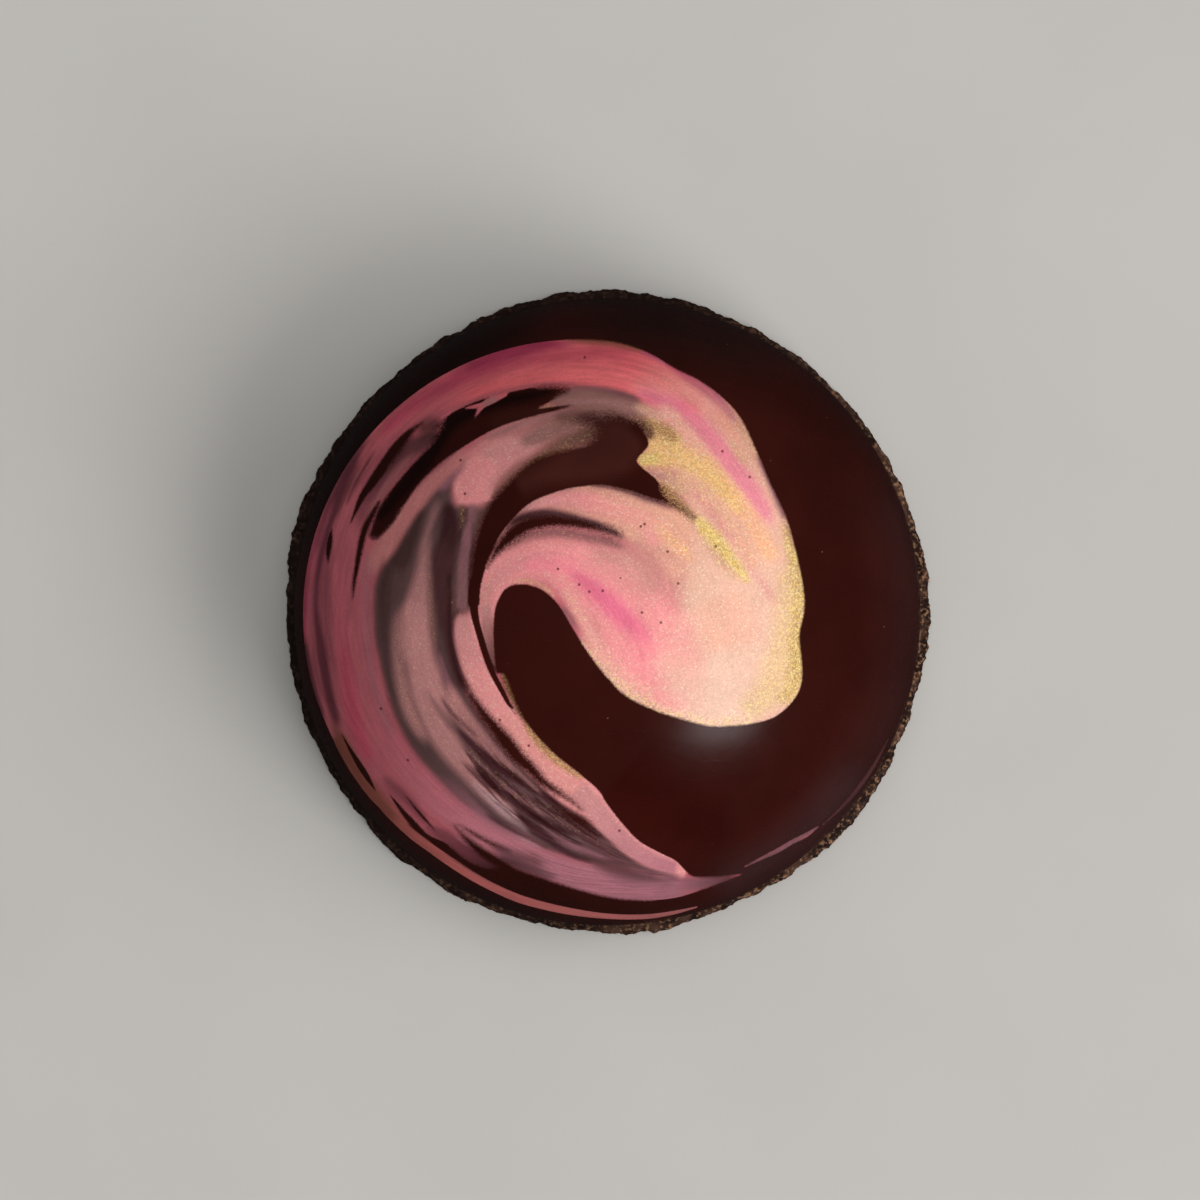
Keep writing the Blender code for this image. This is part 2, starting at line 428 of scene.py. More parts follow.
def paintTopBand(c):
    c.brush("coral to rose", 0.9, [
        (4.2, 9.2, 1.3), (2.2, 10.4, 1.3), (0, 11.0, 1.2), (-2, 11.1, 1.2), (-4, 10.9, 1.2),
        (-6, 10.3, 1.1), (-8, 9.3, 1.0), (-9.7, 7.9, 0.9), (-11, 6.2, 0.8), (-11.8, 4.4, 0.7),
    ], ends=1)
    c.brush("salmon to coral", 0.8, [
        (4.6, 8.6, 0.3), (3.0, 9.7, 0.35), (1.2, 10.38, 0.36), (-0.4, 10.6, 0.36), (-2, 10.65, 0.33),
        (-3.8, 10.42, 0.28), (-5.6, 9.98, 0.22), (-7, 9.5, 0.15),
    ], ends=1)
    c.brush("coralRose to magenta", 0.5, [
        (1.4, 11.35, 0.15), (0, 11.6, 0.2), (-2, 11.45, 0.2), (-4, 11.15, 0.22), (-6, 10.55, 0.2),
        (-8, 9.6, 0.2),
    ], strength=0.8, ends=1)
    c.brush("magenta to deepMagenta", 0.5, [
        (-1.2, 11.95, 0.1), (-2.4, 11.9, 0.22), (-3.6, 11.72, 0.32), (-5, 11.3, 0.34), (-6.4, 10.7, 0.28),
        (-7.4, 10.2, 0.15),
    ], ends=1)
    c.brush("deepMagenta", 0.35, [
        (-1.9, 12.02, 0.12), (-3, 11.95, 0.22), (-4.4, 11.65, 0.26), (-5.6, 11.2, 0.18), (-6.6, 10.8, 0.08),
    ], ends=0.8)
    c.brush("magenta to deepRose", 0.45, [
        (-5.5, 10.95, 0.22), (-7, 10.3, 0.28), (-8.3, 9.5, 0.28), (-9.5, 8.55, 0.25), (-10.4, 7.6, 0.12),
    ], strength=0.9, ends=1)
    c.brush("tan", 0.4, [
        (-2.1, 12.25, 0.08), (-0.9, 12.22, 0.2), (0.2, 12.12, 0.22), (1.1, 11.9, 0.16), (1.9, 11.6, 0.06),
    ], gold=0.2, soft=0.14)
    c.brush("orchid", 0.3, [
        (1.3, 11.8, 0.06), (2.2, 11.38, 0.16), (3.2, 10.85, 0.18), (4.0, 10.36, 0.2), (4.7, 9.88, 0.16),
        (5.3, 9.35, 0.06),
    ], soft=0.1)
    c.brush("smokeLilac", 0.25, [
        (-1.0, 10.12, 0.05), (-2, 10.2, 0.08), (-3.4, 10.14, 0.08), (-4.6, 9.88, 0.06), (-6, 9.45, 0.05),
        (-7.2, 8.85, 0.05),
    ], strength=0.6, soft=0.12)
    c.brush(None, 1.0, [
        (3.0, 10.2, 0.8), (0, 11.2, 1.0), (-4, 11.0, 1.0), (-8, 9.4, 0.9), (-11, 6.5, 0.8), (-12.4, 3, 0.9),
        (-12.6, 0, 1.0), (-12.2, -3, 0.9), (-10.9, -5.5, 0.7),
    ], streak=0.2)
    c.brush("dullRose", 0.5, [
        (-6.6, 9.3, 0.12), (-7.4, 8.9, 0.2), (-8.2, 8.6, 0.22), (-9.2, 7.9, 0.2), (-10.1, 6.95, 0.2),
        (-10.8, 6.0, 0.18), (-11.3, 5.0, 0.1),
    ], strength=0.6, ends=1)


def paintHead(c):
    c.brush("softPink to cream", 1.5, [(3.0, -1.4, 1.2), (3.6, -3.2, 1.0), (5.0, -3.6, 0.9)], ends=0.6)
    c.brush("shellPeach", 1.6, [(4.6, 1.0, 0.9), (5.2, -0.5, 1.3), (5.6, -2.0, 1.4)], ends=0.8)
    # a painted highlight: the creamy sheen where the light glints on the head's lower part
    c.brush("cream", 1.2, [(4.2, -3.5, 0.6), (5.4, -3.6, 0.8), (6.4, -3.3, 0.6)], ends=0.5)
    c.brush("softPink", 1.4, [(3.4, 0.2, 0.5), (3.3, -1.2, 0.7), (3.2, -2.6, 0.7)], strength=0.8)
    # stripes down the right side, outermost first
    c.brush("salmon to apricot", 0.8, [
        (0.8, 10.6, 0.25), (2.6, 10.3, 0.45), (3.9, 9.8, 0.5), (4.9, 8.95, 0.4), (5.7, 7.8, 0.26),
        (6.2, 6.9, 0.15),
    ], ends=1)
    c.brush("salmon to softPink", 0.9, [
        (0.6, 10.25, 0.15), (1.6, 9.95, 0.3), (2.5, 9.55, 0.4), (3.4, 8.95, 0.35),
    ], strength=0.9, ends=0.8)
    c.brush("coral to softPink", 0.7, [
        (0.8, 11.0, 0.3), (2.2, 10.75, 0.42), (3.3, 10.3, 0.45), (4.3, 9.6, 0.4), (5.2, 8.6, 0.2),
    ], strength=0.75, ends=0.8)
    c.brush("hotPink to orchidPink", 0.7, [
        (0.9, 10.0, 0.1), (2.0, 9.6, 0.3), (3.1, 9.1, 0.45), (4.1, 8.25, 0.52), (4.95, 7.3, 0.52),
        (5.75, 6.3, 0.5), (6.4, 5.45, 0.46), (7.0, 4.5, 0.38), (7.5, 3.6, 0.2),
    ], strength=0.85, ends=1)
    c.brush("softPink to peach", 0.5, [
        (2.0, 9.3, 0.2), (2.8, 8.85, 0.3), (3.5, 8.0, 0.36), (4.4, 6.8, 0.42), (5.3, 5.5, 0.45),
        (6.3, 4.3, 0.42), (7.0, 3.1, 0.4), (7.6, 2.0, 0.3),
    ], gold=0.2, ends=0.8)
    c.brush("peach", 0.5, [(4.2, 7.1, 0.2), (4.9, 6.1, 0.3), (5.7, 5.1, 0.28), (6.4, 4.1, 0.2)], gold=0.3)
    c.brush("sand", 0.35, [(5.3, 7.9, 0.1), (5.8, 7.2, 0.16), (6.35, 6.4, 0.1)], strength=0.7, gold=0.3)
    c.brush("sand", 0.4, [
        (5.1, 9.5, 0.1), (5.9, 8.55, 0.22), (6.45, 7.5, 0.24), (6.85, 6.7, 0.12),
    ], strength=0.6, gold=0.3, soft=0.14)
    c.brush("deepRose to lightLilac", 0.35, [
        (2.4, 11.2, 0.05), (3.4, 10.65, 0.2), (4.4, 10.0, 0.24), (5.2, 9.25, 0.2), (5.9, 8.3, 0.06),
    ], strength=0.8)
    c.brush("ash", 0.3, [
        (6.6, 7.2, 0.08), (7.15, 6.15, 0.16), (7.65, 5.0, 0.18), (8.05, 3.9, 0.1),
    ], soft=0.1)
    # the beak, all gold, dissolving at its upper side
    c.brush("goldPaint", 0.8, [
        (1.2, 6.78, 0.3), (2.2, 6.9, 0.5), (3.0, 7.0, 0.5), (3.8, 6.7, 0.45), (4.6, 6.1, 0.4),
        (5.4, 5.2, 0.3), (6.0, 4.4, 0.15),
    ], ends=0.3, gold=0.5, strength=0.85)
    c.brush("paleGold", 0.4, [(1.35, 6.8, 0.1), (1.9, 6.85, 0.26), (2.5, 6.9, 0.1)], ends=0.15, gold=0.8)
    c.brush("goldPaint", 0.4, [
        (1.7, 7.6, 0.4), (2.6, 7.75, 0.4), (3.4, 7.5, 0.3),
    ], ends=0.2, gold=0.6, strength=0.8)
    c.brush("oldGold", 0.4, [
        (1.3, 8.6, 0.15), (2.0, 8.42, 0.3), (2.7, 8.0, 0.32), (3.2, 7.55, 0.2),
    ], ends=0.3, gold=0.75, thin=0.35, soft=0.2)
    c.brush("umber", 0.35, [
        (0.9, 8.85, 0.08), (1.5, 8.5, 0.2), (1.9, 8.05, 0.2), (1.9, 7.6, 0.08),
    ], ends=0.2, gold=0.8, thin=0.5, soft=0.25)
    c.brush("tanPink to sand", 0.4, [
        (1.5, 6.4, 0.12), (2.2, 6.15, 0.3), (2.9, 5.85, 0.4), (3.7, 5.4, 0.35),
    ], ends=0.3, gold=0.3)
    c.brush("lightLilac", 0.2, [
        (1.7, 6.42, 0.04), (2.2, 6.15, 0.08), (2.8, 5.95, 0.06),
    ], strength=0.6, ends=0.4)
    c.brush("apricot", 0.5, [
        (2.9, 6.1, 0.15), (3.6, 5.75, 0.3), (4.4, 5.05, 0.36), (5.3, 4.0, 0.4), (6.1, 2.9, 0.4),
        (6.7, 1.8, 0.3),
    ], strength=0.85, gold=0.2)
    c.brush("duskyPink", 0.4, [
        (3.6, 5.6, 0.12), (4.3, 4.9, 0.22), (5.1, 3.9, 0.25), (5.9, 2.9, 0.22),
    ], strength=0.5)
    c.brush("sand", 0.4, [
        (2.9, 5.2, 0.1), (3.5, 4.6, 0.2), (4.1, 3.9, 0.26), (4.7, 3.0, 0.3), (5.4, 2.1, 0.3),
        (6.0, 1.4, 0.15),
    ], strength=0.8, gold=0.3)
    c.brush("oldGold to umber", 0.4, [
        (2.3, 5.85, 0.08), (2.6, 5.4, 0.26), (3.05, 4.95, 0.26), (3.55, 4.5, 0.18), (4.1, 4.0, 0.08),
    ], ends=0.3, gold=0.9, thin=0.46, soft=0.35)
    c.brush("paleGold", 0.36, [
        (4.0, 4.3, 0.1), (4.4, 3.75, 0.26), (4.95, 3.15, 0.3), (5.45, 2.5, 0.24), (5.95, 1.85, 0.18),
        (6.35, 1.25, 0.06),
    ], ends=0.2, gold=0.85, strength=0.95)
    c.brush("duskyPink", 0.3, [
        (6.1, 2.3, 0.05), (6.7, 1.6, 0.14), (7.2, 0.9, 0.18), (7.8, 0.2, 0.1),
    ], strength=0.6)
    # the gold that gathers along the right edge
    c.brush("goldCream", 1.0, [
        (8.1, 2.2, 0.3), (8.1, 0.6, 0.5), (8.0, -1.0, 0.6), (7.7, -2.6, 0.8), (6.9, -3.9, 0.6),
        (5.8, -4.5, 0.4),
    ], strength=0.9, gold=0.35)
    c.brush("edgeGold", 0.6, [
        (7.9, 4.2, 0.1), (8.2, 3.3, 0.26), (8.5, 2.0, 0.38), (8.65, 0.8, 0.4), (8.6, -0.2, 0.38),
        (8.5, -1.2, 0.38), (8.5, -2.4, 0.4), (8.25, -3.4, 0.34), (7.6, -4.2, 0.2),
    ], gold=0.9, soft=0.08)
    c.brush("beigeGrey", 0.25, [
        (7.9, 4.4, 0.06), (8.2, 3.5, 0.12), (8.45, 2.6, 0.06),
    ], strength=0.7, gold=0.5)
    c.brush("cream", 0.5, [
        (-1.4, -1.0, 0.05), (-0.6, -2.1, 0.12), (0.2, -3.0, 0.2), (1.0, -3.75, 0.24), (2.2, -4.35, 0.28),
        (3.8, -4.85, 0.3), (5.4, -4.95, 0.3), (6.8, -4.75, 0.25),
    ], strength=0.8, gold=0.75, soft=0.09)
    c.brush("ash", 0.12, [
        (0.2, -3.15, 0.03), (1.2, -3.95, 0.05), (2.6, -4.55, 0.05), (4.0, -4.95, 0.03),
    ], strength=0.5)


def paintBody(c):
    c.brush("tanPink", 0.5, [(-5.45, -0.2, 0.3), (-5.4, 0.8, 0.3), (-5.15, 1.6, 0.25)], strength=0.6)
    c.brush("duskyPink to pink", 0.6, [
        (-5.3, 0.9, 0.2), (-4.6, 1.8, 0.35), (-3.6, 2.3, 0.4), (-2.4, 2.3, 0.4), (-1.2, 1.9, 0.4),
    ], strength=0.9)
    c.brush("pink", 0.4, [(-3.9, 2.0, 0.15), (-3.0, 2.1, 0.25), (-2.0, 2.0, 0.28), (-1.2, 1.7, 0.25)])
    c.brush("tanPink", 1.6, [
        (-1.4, 2.85, 0.2), (-0.2, 2.6, 0.35), (1.0, 2.3, 0.6), (2.0, 1.4, 0.7), (2.8, 0.3, 0.6),
    ], strength=0.9, ends=1.4)
    c.brush("tanPink to apricot", 1.0, [
        (0.9, 3.1, 0.15), (1.9, 2.9, 0.4), (2.8, 2.3, 0.5), (3.4, 1.3, 0.4),
    ], strength=0.9, ends=0.6)
    c.brush("hotPink", 0.7, [
        (-1.9, 1.95, 0.06), (-1.1, 1.45, 0.3), (-0.4, 0.85, 0.42), (0.4, 0.1, 0.48), (1.2, -0.7, 0.4),
        (2.0, -1.6, 0.2),
    ], ends=0.7)
    c.brush("pink", 0.9, [
        (0.6, -0.6, 0.15), (1.4, -1.5, 0.35), (2.0, -2.4, 0.4), (2.6, -3.3, 0.2),
    ], strength=0.8, ends=0.8)
    c.brush("softPink", 0.7, [
        (-2.1, 1.3, 0.08), (-1.6, 0.5, 0.16), (-1.0, -0.5, 0.25), (-0.5, -1.5, 0.34), (0.2, -2.5, 0.4),
        (1.0, -3.3, 0.4), (2.2, -4.0, 0.4),
    ], gold=0.2)
    c.brush("sand", 0.14, [
        (-4.4, 1.22, 0.03), (-3.9, 1.42, 0.07), (-3.3, 1.35, 0.08), (-2.7, 1.03, 0.08), (-2.2, 0.5, 0.06),
    ], strength=0.7, gold=0.4, soft=0.09)
    c.brush("ash", 0.22, [
        (-2.15, 0.45, 0.06), (-1.85, 0.05, 0.12), (-1.55, -0.4, 0.12), (-1.25, -0.9, 0.06),
    ], strength=0.8)


def paintCrest(c):
    c.brush("silverPink to bodyPink", 0.4, [
        (-3.9, 4.35, 0.2), (-3.1, 4.85, 0.25), (-2.2, 5.05, 0.3), (-1.2, 5.05, 0.35), (-0.3, 4.9, 0.35),
    ])
    c.brush("bodyPink to apricot", 0.6, [
        (-1.4, 4.95, 0.3), (-0.4, 4.8, 0.4), (0.8, 4.45, 0.4), (2.0, 3.95, 0.4), (3.0, 3.3, 0.35),
        (3.8, 2.6, 0.2),
    ], gold=0.1)
    c.brush("peach", 0.5, [
        (2.1, 4.1, 0.1), (2.8, 3.3, 0.25), (3.4, 2.7, 0.25), (4.0, 2.2, 0.1),
    ], strength=0.7, gold=0.4)
    c.brush("bodyPink", 0.5, [(1.4, 3.9, 0.15), (2.0, 3.3, 0.22), (2.3, 2.7, 0.15)], strength=0.7)
    c.brush("ash", 0.25, [
        (-4.75, 3.55, 0.05), (-4.2, 4.2, 0.07), (-3.4, 4.92, 0.05), (-2.4, 5.42, 0.05), (-1.2, 5.62, 0.05),
    ], strength=0.8)
    c.brush("smokeLilac", 0.3, [
        (-1.0, 5.68, 0.04), (0.0, 5.62, 0.08), (0.9, 5.4, 0.12), (1.7, 5.12, 0.15), (2.5, 4.85, 0.14),
        (3.1, 4.6, 0.08),
    ], strength=0.9, soft=0.24)
    # the shading that lies round the crescent
    c.brush("darkPlum to smokeLilac", 0.26, [
        (-4.7, 3.62, 0.06), (-4.1, 4.1, 0.16), (-3.4, 4.34, 0.22), (-2.6, 4.4, 0.24), (-1.9, 4.3, 0.22),
        (-1.2, 4.12, 0.2), (-0.4, 3.88, 0.18), (0.4, 3.52, 0.12), (1.1, 3.15, 0.03),
    ], ends=0.8)
    c.brush("dustyRose", 0.6, [
        (-4.6, 2.75, 0.15), (-3.7, 3.2, 0.2), (-2.6, 3.35, 0.16), (-1.4, 3.25, 0.14), (-0.2, 3.05, 0.15),
        (0.8, 2.8, 0.12),
    ], strength=0.8)
    c.brush("smokeLilac", 0.4, [
        (-4.9, 2.55, 0.05), (-4.3, 3.0, 0.1), (-3.6, 3.4, 0.14), (-2.6, 3.58, 0.18), (-1.5, 3.5, 0.2),
        (-0.5, 3.3, 0.2), (0.4, 3.05, 0.14), (1.2, 2.75, 0.04),
    ], strength=0.75, ends=1, gold=0.3, thin=0.38, soft=0.26)
    c.brush(None, 0.5, [(-0.6, 3.8, 0.35), (0.3, 3.5, 0.5), (1.2, 3.05, 0.4)], soft=0.5, thin=0.3, ends=0.8)
    c.brush("ash", 0.16, [
        (-4.55, 3.85, 0.04), (-4.95, 3.35, 0.07), (-5.25, 2.75, 0.07), (-5.5, 2.15, 0.03),
    ], strength=0.9)
    c.brush("silverPink", 0.12, [(-4.75, 3.6, 0.03), (-5.15, 3.0, 0.05), (-5.42, 2.4, 0.03)], strength=0.5)


def paintSecondStroke(c):
    c.brush("silverPink to bodyPink", 0.6, [
        (-2.6, 7.95, 0.2), (-3.6, 7.5, 0.4), (-4.6, 7.0, 0.6), (-5.4, 6.4, 0.7), (-6.0, 5.7, 0.7),
        (-6.2, 5.2, 0.5),
    ], ends=0.8)
    c.brush("duskyPink", 0.4, [
        (-3.7, 7.75, 0.1), (-4.5, 7.5, 0.25), (-5.2, 7.1, 0.3), (-5.8, 6.5, 0.2),
    ], ends=0.6)
    c.brush("beigeGrey to greyPink", 0.5, [
        (-0.9, 8.45, 0.25), (-1.8, 8.3, 0.35), (-2.6, 8.1, 0.4), (-3.4, 7.75, 0.3), (-4.1, 7.5, 0.1),
    ], ends=0.5, gold=0.2)
    c.brush("umber", 0.6, [
        (0.3, 8.3, 0.3), (-0.6, 8.1, 0.35), (-1.3, 7.8, 0.3), (-2.1, 7.45, 0.22), (-3.0, 7.0, 0.15),
        (-3.9, 6.4, 0.08),
    ], ends=0.6, gold=0.35)
    c.brush("greyPink", 0.3, [
        (-1.0, 8.98, 0.06), (-2.0, 8.85, 0.1), (-3.2, 8.6, 0.12), (-4.6, 8.12, 0.12), (-5.7, 7.65, 0.08),
    ], strength=0.7, soft=0.12)
    c.brush("bronze", 0.45, [
        (-0.9, 7.4, 0.1), (-2.3, 7.1, 0.14), (-3.3, 6.65, 0.14), (-4.2, 5.98, 0.12), (-4.95, 5.25, 0.08),
        (-5.4, 4.6, 0.05),
    ], strength=0.95, soft=0.3, gold=0.2, ends=1)
    c.brush(None, 0.4, [
        (-3.0, 6.9, 0.2), (-4.2, 6.0, 0.3), (-5.1, 5.1, 0.3), (-5.7, 4.0, 0.25), (-6.0, 2.6, 0.2),
        (-6.15, 1.2, 0.15),
    ], soft=0.26, ends=0.6)
    c.brush("umber", 0.4, [
        (-3.4, 6.95, 0.1), (-4.4, 6.15, 0.18), (-5.15, 5.2, 0.18), (-5.65, 4.2, 0.15), (-5.95, 3.0, 0.08),
    ], strength=0.6, ends=0.6)
    c.brush("umber to plum", 0.5, [
        (-2.6, 8.75, 0.1), (-1.8, 8.75, 0.25), (-1.1, 8.8, 0.3), (-0.2, 9.0, 0.12),
    ], strength=0.8, ends=0.5)
    c.brush(None, 0.6, [
        (-2.2, 8.0, 0.4), (-1.2, 8.2, 0.8), (-0.2, 8.4, 0.9), (0.8, 8.6, 0.7), (1.4, 8.7, 0.3),
    ], soft=0.5, thin=0.2, ends=0.4)
    c.brush(None, 0.4, [
        (0.2, 9.0, 0.2), (1.2, 8.75, 0.35), (1.8, 8.3, 0.3), (1.9, 7.8, 0.15),
    ], soft=0.3, thin=0.15, ends=0.2)
    # the veil between the top band and the hook, with its finger
    c.brush("beigeGrey", 0.4, [
        (-2.6, 9.5, 0.2), (-1.6, 9.6, 0.4), (-0.4, 9.45, 0.55), (0.8, 9.15, 0.55), (1.8, 8.8, 0.35),
    ], ends=0.15)
    c.brush("smokeLilac", 0.3, [
        (-1.9, 9.98, 0.06), (-0.9, 10.02, 0.1), (0.1, 9.9, 0.14), (1.0, 9.65, 0.14), (1.7, 9.3, 0.06),
    ], strength=0.85)
    c.brush("greyPink", 0.3, [
        (-2.2, 9.4, 0.05), (-1.0, 9.45, 0.14), (0.2, 9.35, 0.16), (1.0, 9.15, 0.16), (1.9, 8.95, 0.15),
        (2.5, 8.65, 0.1),
    ], strength=0.8, gold=0.15)
    c.brush("ash", 0.15, [(-2.3, 9.62, 0.05), (-1.6, 9.85, 0.08), (-0.9, 9.82, 0.06)], strength=0.6)
    c.brush("oldGold", 0.12, [
        (-3.1, 9.13, 0.03), (-2.7, 9.2, 0.05), (-2.3, 9.28, 0.03),
    ], strength=0.6, ends=0.1, gold=0.6)
    c.brush(None, 0.5, [(-3.4, 10.1, 0.2), (-2.4, 10.0, 0.4), (-1.4, 9.95, 0.3)], soft=0.3, ends=0.4)
    c.brush("sand to softPink", 0.4, [
        (1.0, 9.3, 0.1), (1.7, 9.05, 0.22), (2.4, 8.75, 0.25), (3.0, 8.4, 0.2),
    ], strength=0.85, ends=0.6)
    c.brush("greyPink", 0.15, [(-4.7, 9.7, 0.1), (-5.2, 9.42, 0.12), (-5.8, 9.2, 0.08)], strength=0.9)


def paintLobe(c):
    c.brush("bodyPink", 0.25, [
        (-5.0, 6.6, 0.3), (-5.75, 6.3, 0.7), (-6.05, 5.7, 0.78), (-5.95, 5.35, 0.78), (-5.9, 4.85, 0.7),
    ], ends=0.12)
    c.brush("duskyPink", 0.3, [
        (-5.1, 6.2, 0.12), (-5.25, 5.6, 0.16), (-5.35, 5.1, 0.12),
    ], strength=0.7, ends=0.2)
    c.brush("lilac", 0.3, [
        (-6.3, 6.85, 0.06), (-6.6, 6.4, 0.12), (-6.95, 6.0, 0.16), (-7.3, 5.65, 0.18), (-7.6, 5.3, 0.15),
    ], strength=0.9)
    # drips below it
    c.brush("darkPlum to plum", 0.4, [
        (-7.15, 5.2, 0.06), (-7.08, 4.6, 0.26), (-7.03, 4.0, 0.4), (-7.1, 3.2, 0.44), (-7.25, 2.2, 0.42),
        (-7.3, 1.2, 0.3),
    ], ends=0.6)
    c.brush("ash to lilac", 0.3, [
        (-5.95, 4.95, 0.22), (-6.05, 4.4, 0.2), (-6.2, 3.7, 0.2), (-6.3, 3.1, 0.2), (-6.4, 2.4, 0.2),
        (-6.45, 1.6, 0.2),
    ], ends=0.4)
    c.brush("darkPlum", 0.16, [
        (-6.3, 4.8, 0.05), (-6.42, 4.2, 0.07), (-6.55, 3.5, 0.06), (-6.65, 2.8, 0.03),
    ], strength=0.8, ends=0.3)
    c.brush("umber", 0.2, [
        (-6.5, 4.95, 0.12), (-6.48, 4.3, 0.09), (-6.46, 3.5, 0.03),
    ], strength=0.8, ends=0.3, gold=0.6, thin=0.15)
    c.brush("plum", 0.14, [
        (-6.28, 4.85, 0.05), (-6.27, 4.3, 0.06), (-6.3, 3.7, 0.02),
    ], strength=0.6, ends=0.2)
    c.brush("greyPink", 0.35, [
        (-7.4, 5.4, 0.1), (-7.62, 4.8, 0.14), (-7.8, 4.3, 0.15), (-7.98, 3.7, 0.17), (-8.12, 3.0, 0.2),
        (-8.22, 2.2, 0.2),
    ], strength=0.75, ends=1)


def paintArm(c):
    c.brush("dustyRose", 0.4, [
        (-5.9, 7.2, 0.3), (-7.0, 6.6, 0.36), (-7.75, 5.95, 0.4), (-8.4, 5.2, 0.42), (-9.0, 4.4, 0.46),
        (-9.5, 3.65, 0.46), (-9.9, 2.95, 0.45), (-10.4, 2.2, 0.35), (-10.7, 1.4, 0.2),
    ], ends=0.8)
    c.brush("dullRose", 0.3, [
        (-6.6, 7.28, 0.05), (-7.5, 6.58, 0.1), (-8.5, 5.65, 0.1), (-9.4, 4.55, 0.1), (-10.2, 3.5, 0.06),
    ], strength=0.75, soft=0.15, gold=0.15)
    c.brush("umber", 0.25, [
        (-6.3, 7.5, 0.03), (-7.0, 7.1, 0.07), (-7.6, 6.7, 0.03),
    ], strength=0.6, gold=0.3)
    c.brush("darkSmoke", 0.4, [
        (-8.05, 4.85, 0.05), (-8.42, 4.15, 0.18), (-8.68, 3.5, 0.28), (-8.95, 2.9, 0.34),
        (-9.25, 2.3, 0.38), (-9.7, 1.8, 0.38),
    ], ends=0.6)
    # the strand above it
    c.brush("plum to dullRose", 0.5, [
        (-7.4, 8.1, 0.2), (-8.1, 7.7, 0.36), (-8.9, 7.2, 0.45), (-9.5, 6.55, 0.45), (-10.0, 5.85, 0.45),
        (-10.45, 5.1, 0.42), (-10.85, 4.3, 0.36), (-11.15, 3.4, 0.25),
    ], ends=0.4)
    c.brush("plum to wine", 0.25, [
        (-8.7, 7.6, 0.06), (-9.3, 6.9, 0.12), (-9.9, 6.1, 0.12), (-10.4, 5.4, 0.1), (-10.8, 4.7, 0.05),
    ], strength=0.5)
    c.brush("dustyRose", 0.3, [
        (-8.3, 7.35, 0.04), (-8.9, 6.85, 0.1), (-9.5, 6.15, 0.12), (-10.05, 5.35, 0.13), (-10.5, 4.6, 0.14),
        (-10.85, 3.8, 0.12),
    ], strength=0.45, ends=1)
    c.brush("plum", 0.5, [(-7.2, 8.6, 0.2), (-7.9, 8.35, 0.3), (-8.6, 8.0, 0.22)], strength=0.8)
    c.brush(None, 0.6, [
        (-7.0, 8.6, 0.4), (-7.9, 8.0, 0.7), (-8.9, 7.2, 0.5), (-9.8, 6.1, 0.4),
    ], soft=0.34, ends=0.3)
    c.brush(None, 0.4, [(-7.2, 8.6, 0.3), (-7.9, 7.95, 0.4)], thin=0.5, streak=0.7, ends=0.3)
    c.brush(None, 0.5, [(-9.4, 5.2, 0.5), (-10.4, 4.0, 0.6), (-10.8, 3.2, 0.4)], soft=0.26, ends=0.4)
    c.brush("plum", 0.3, [
        (-8.9, 7.9, 0.05), (-9.5, 7.3, 0.1), (-10.1, 6.5, 0.1), (-10.6, 5.7, 0.06),
    ], strength=0.6)
    c.brush(None, 0.5, [
        (-9.4, 6.4, 0.4), (-10.3, 5.2, 0.45), (-10.9, 4.0, 0.4), (-11.3, 2.0, 0.3),
    ], soft=0.14, ends=0.6)


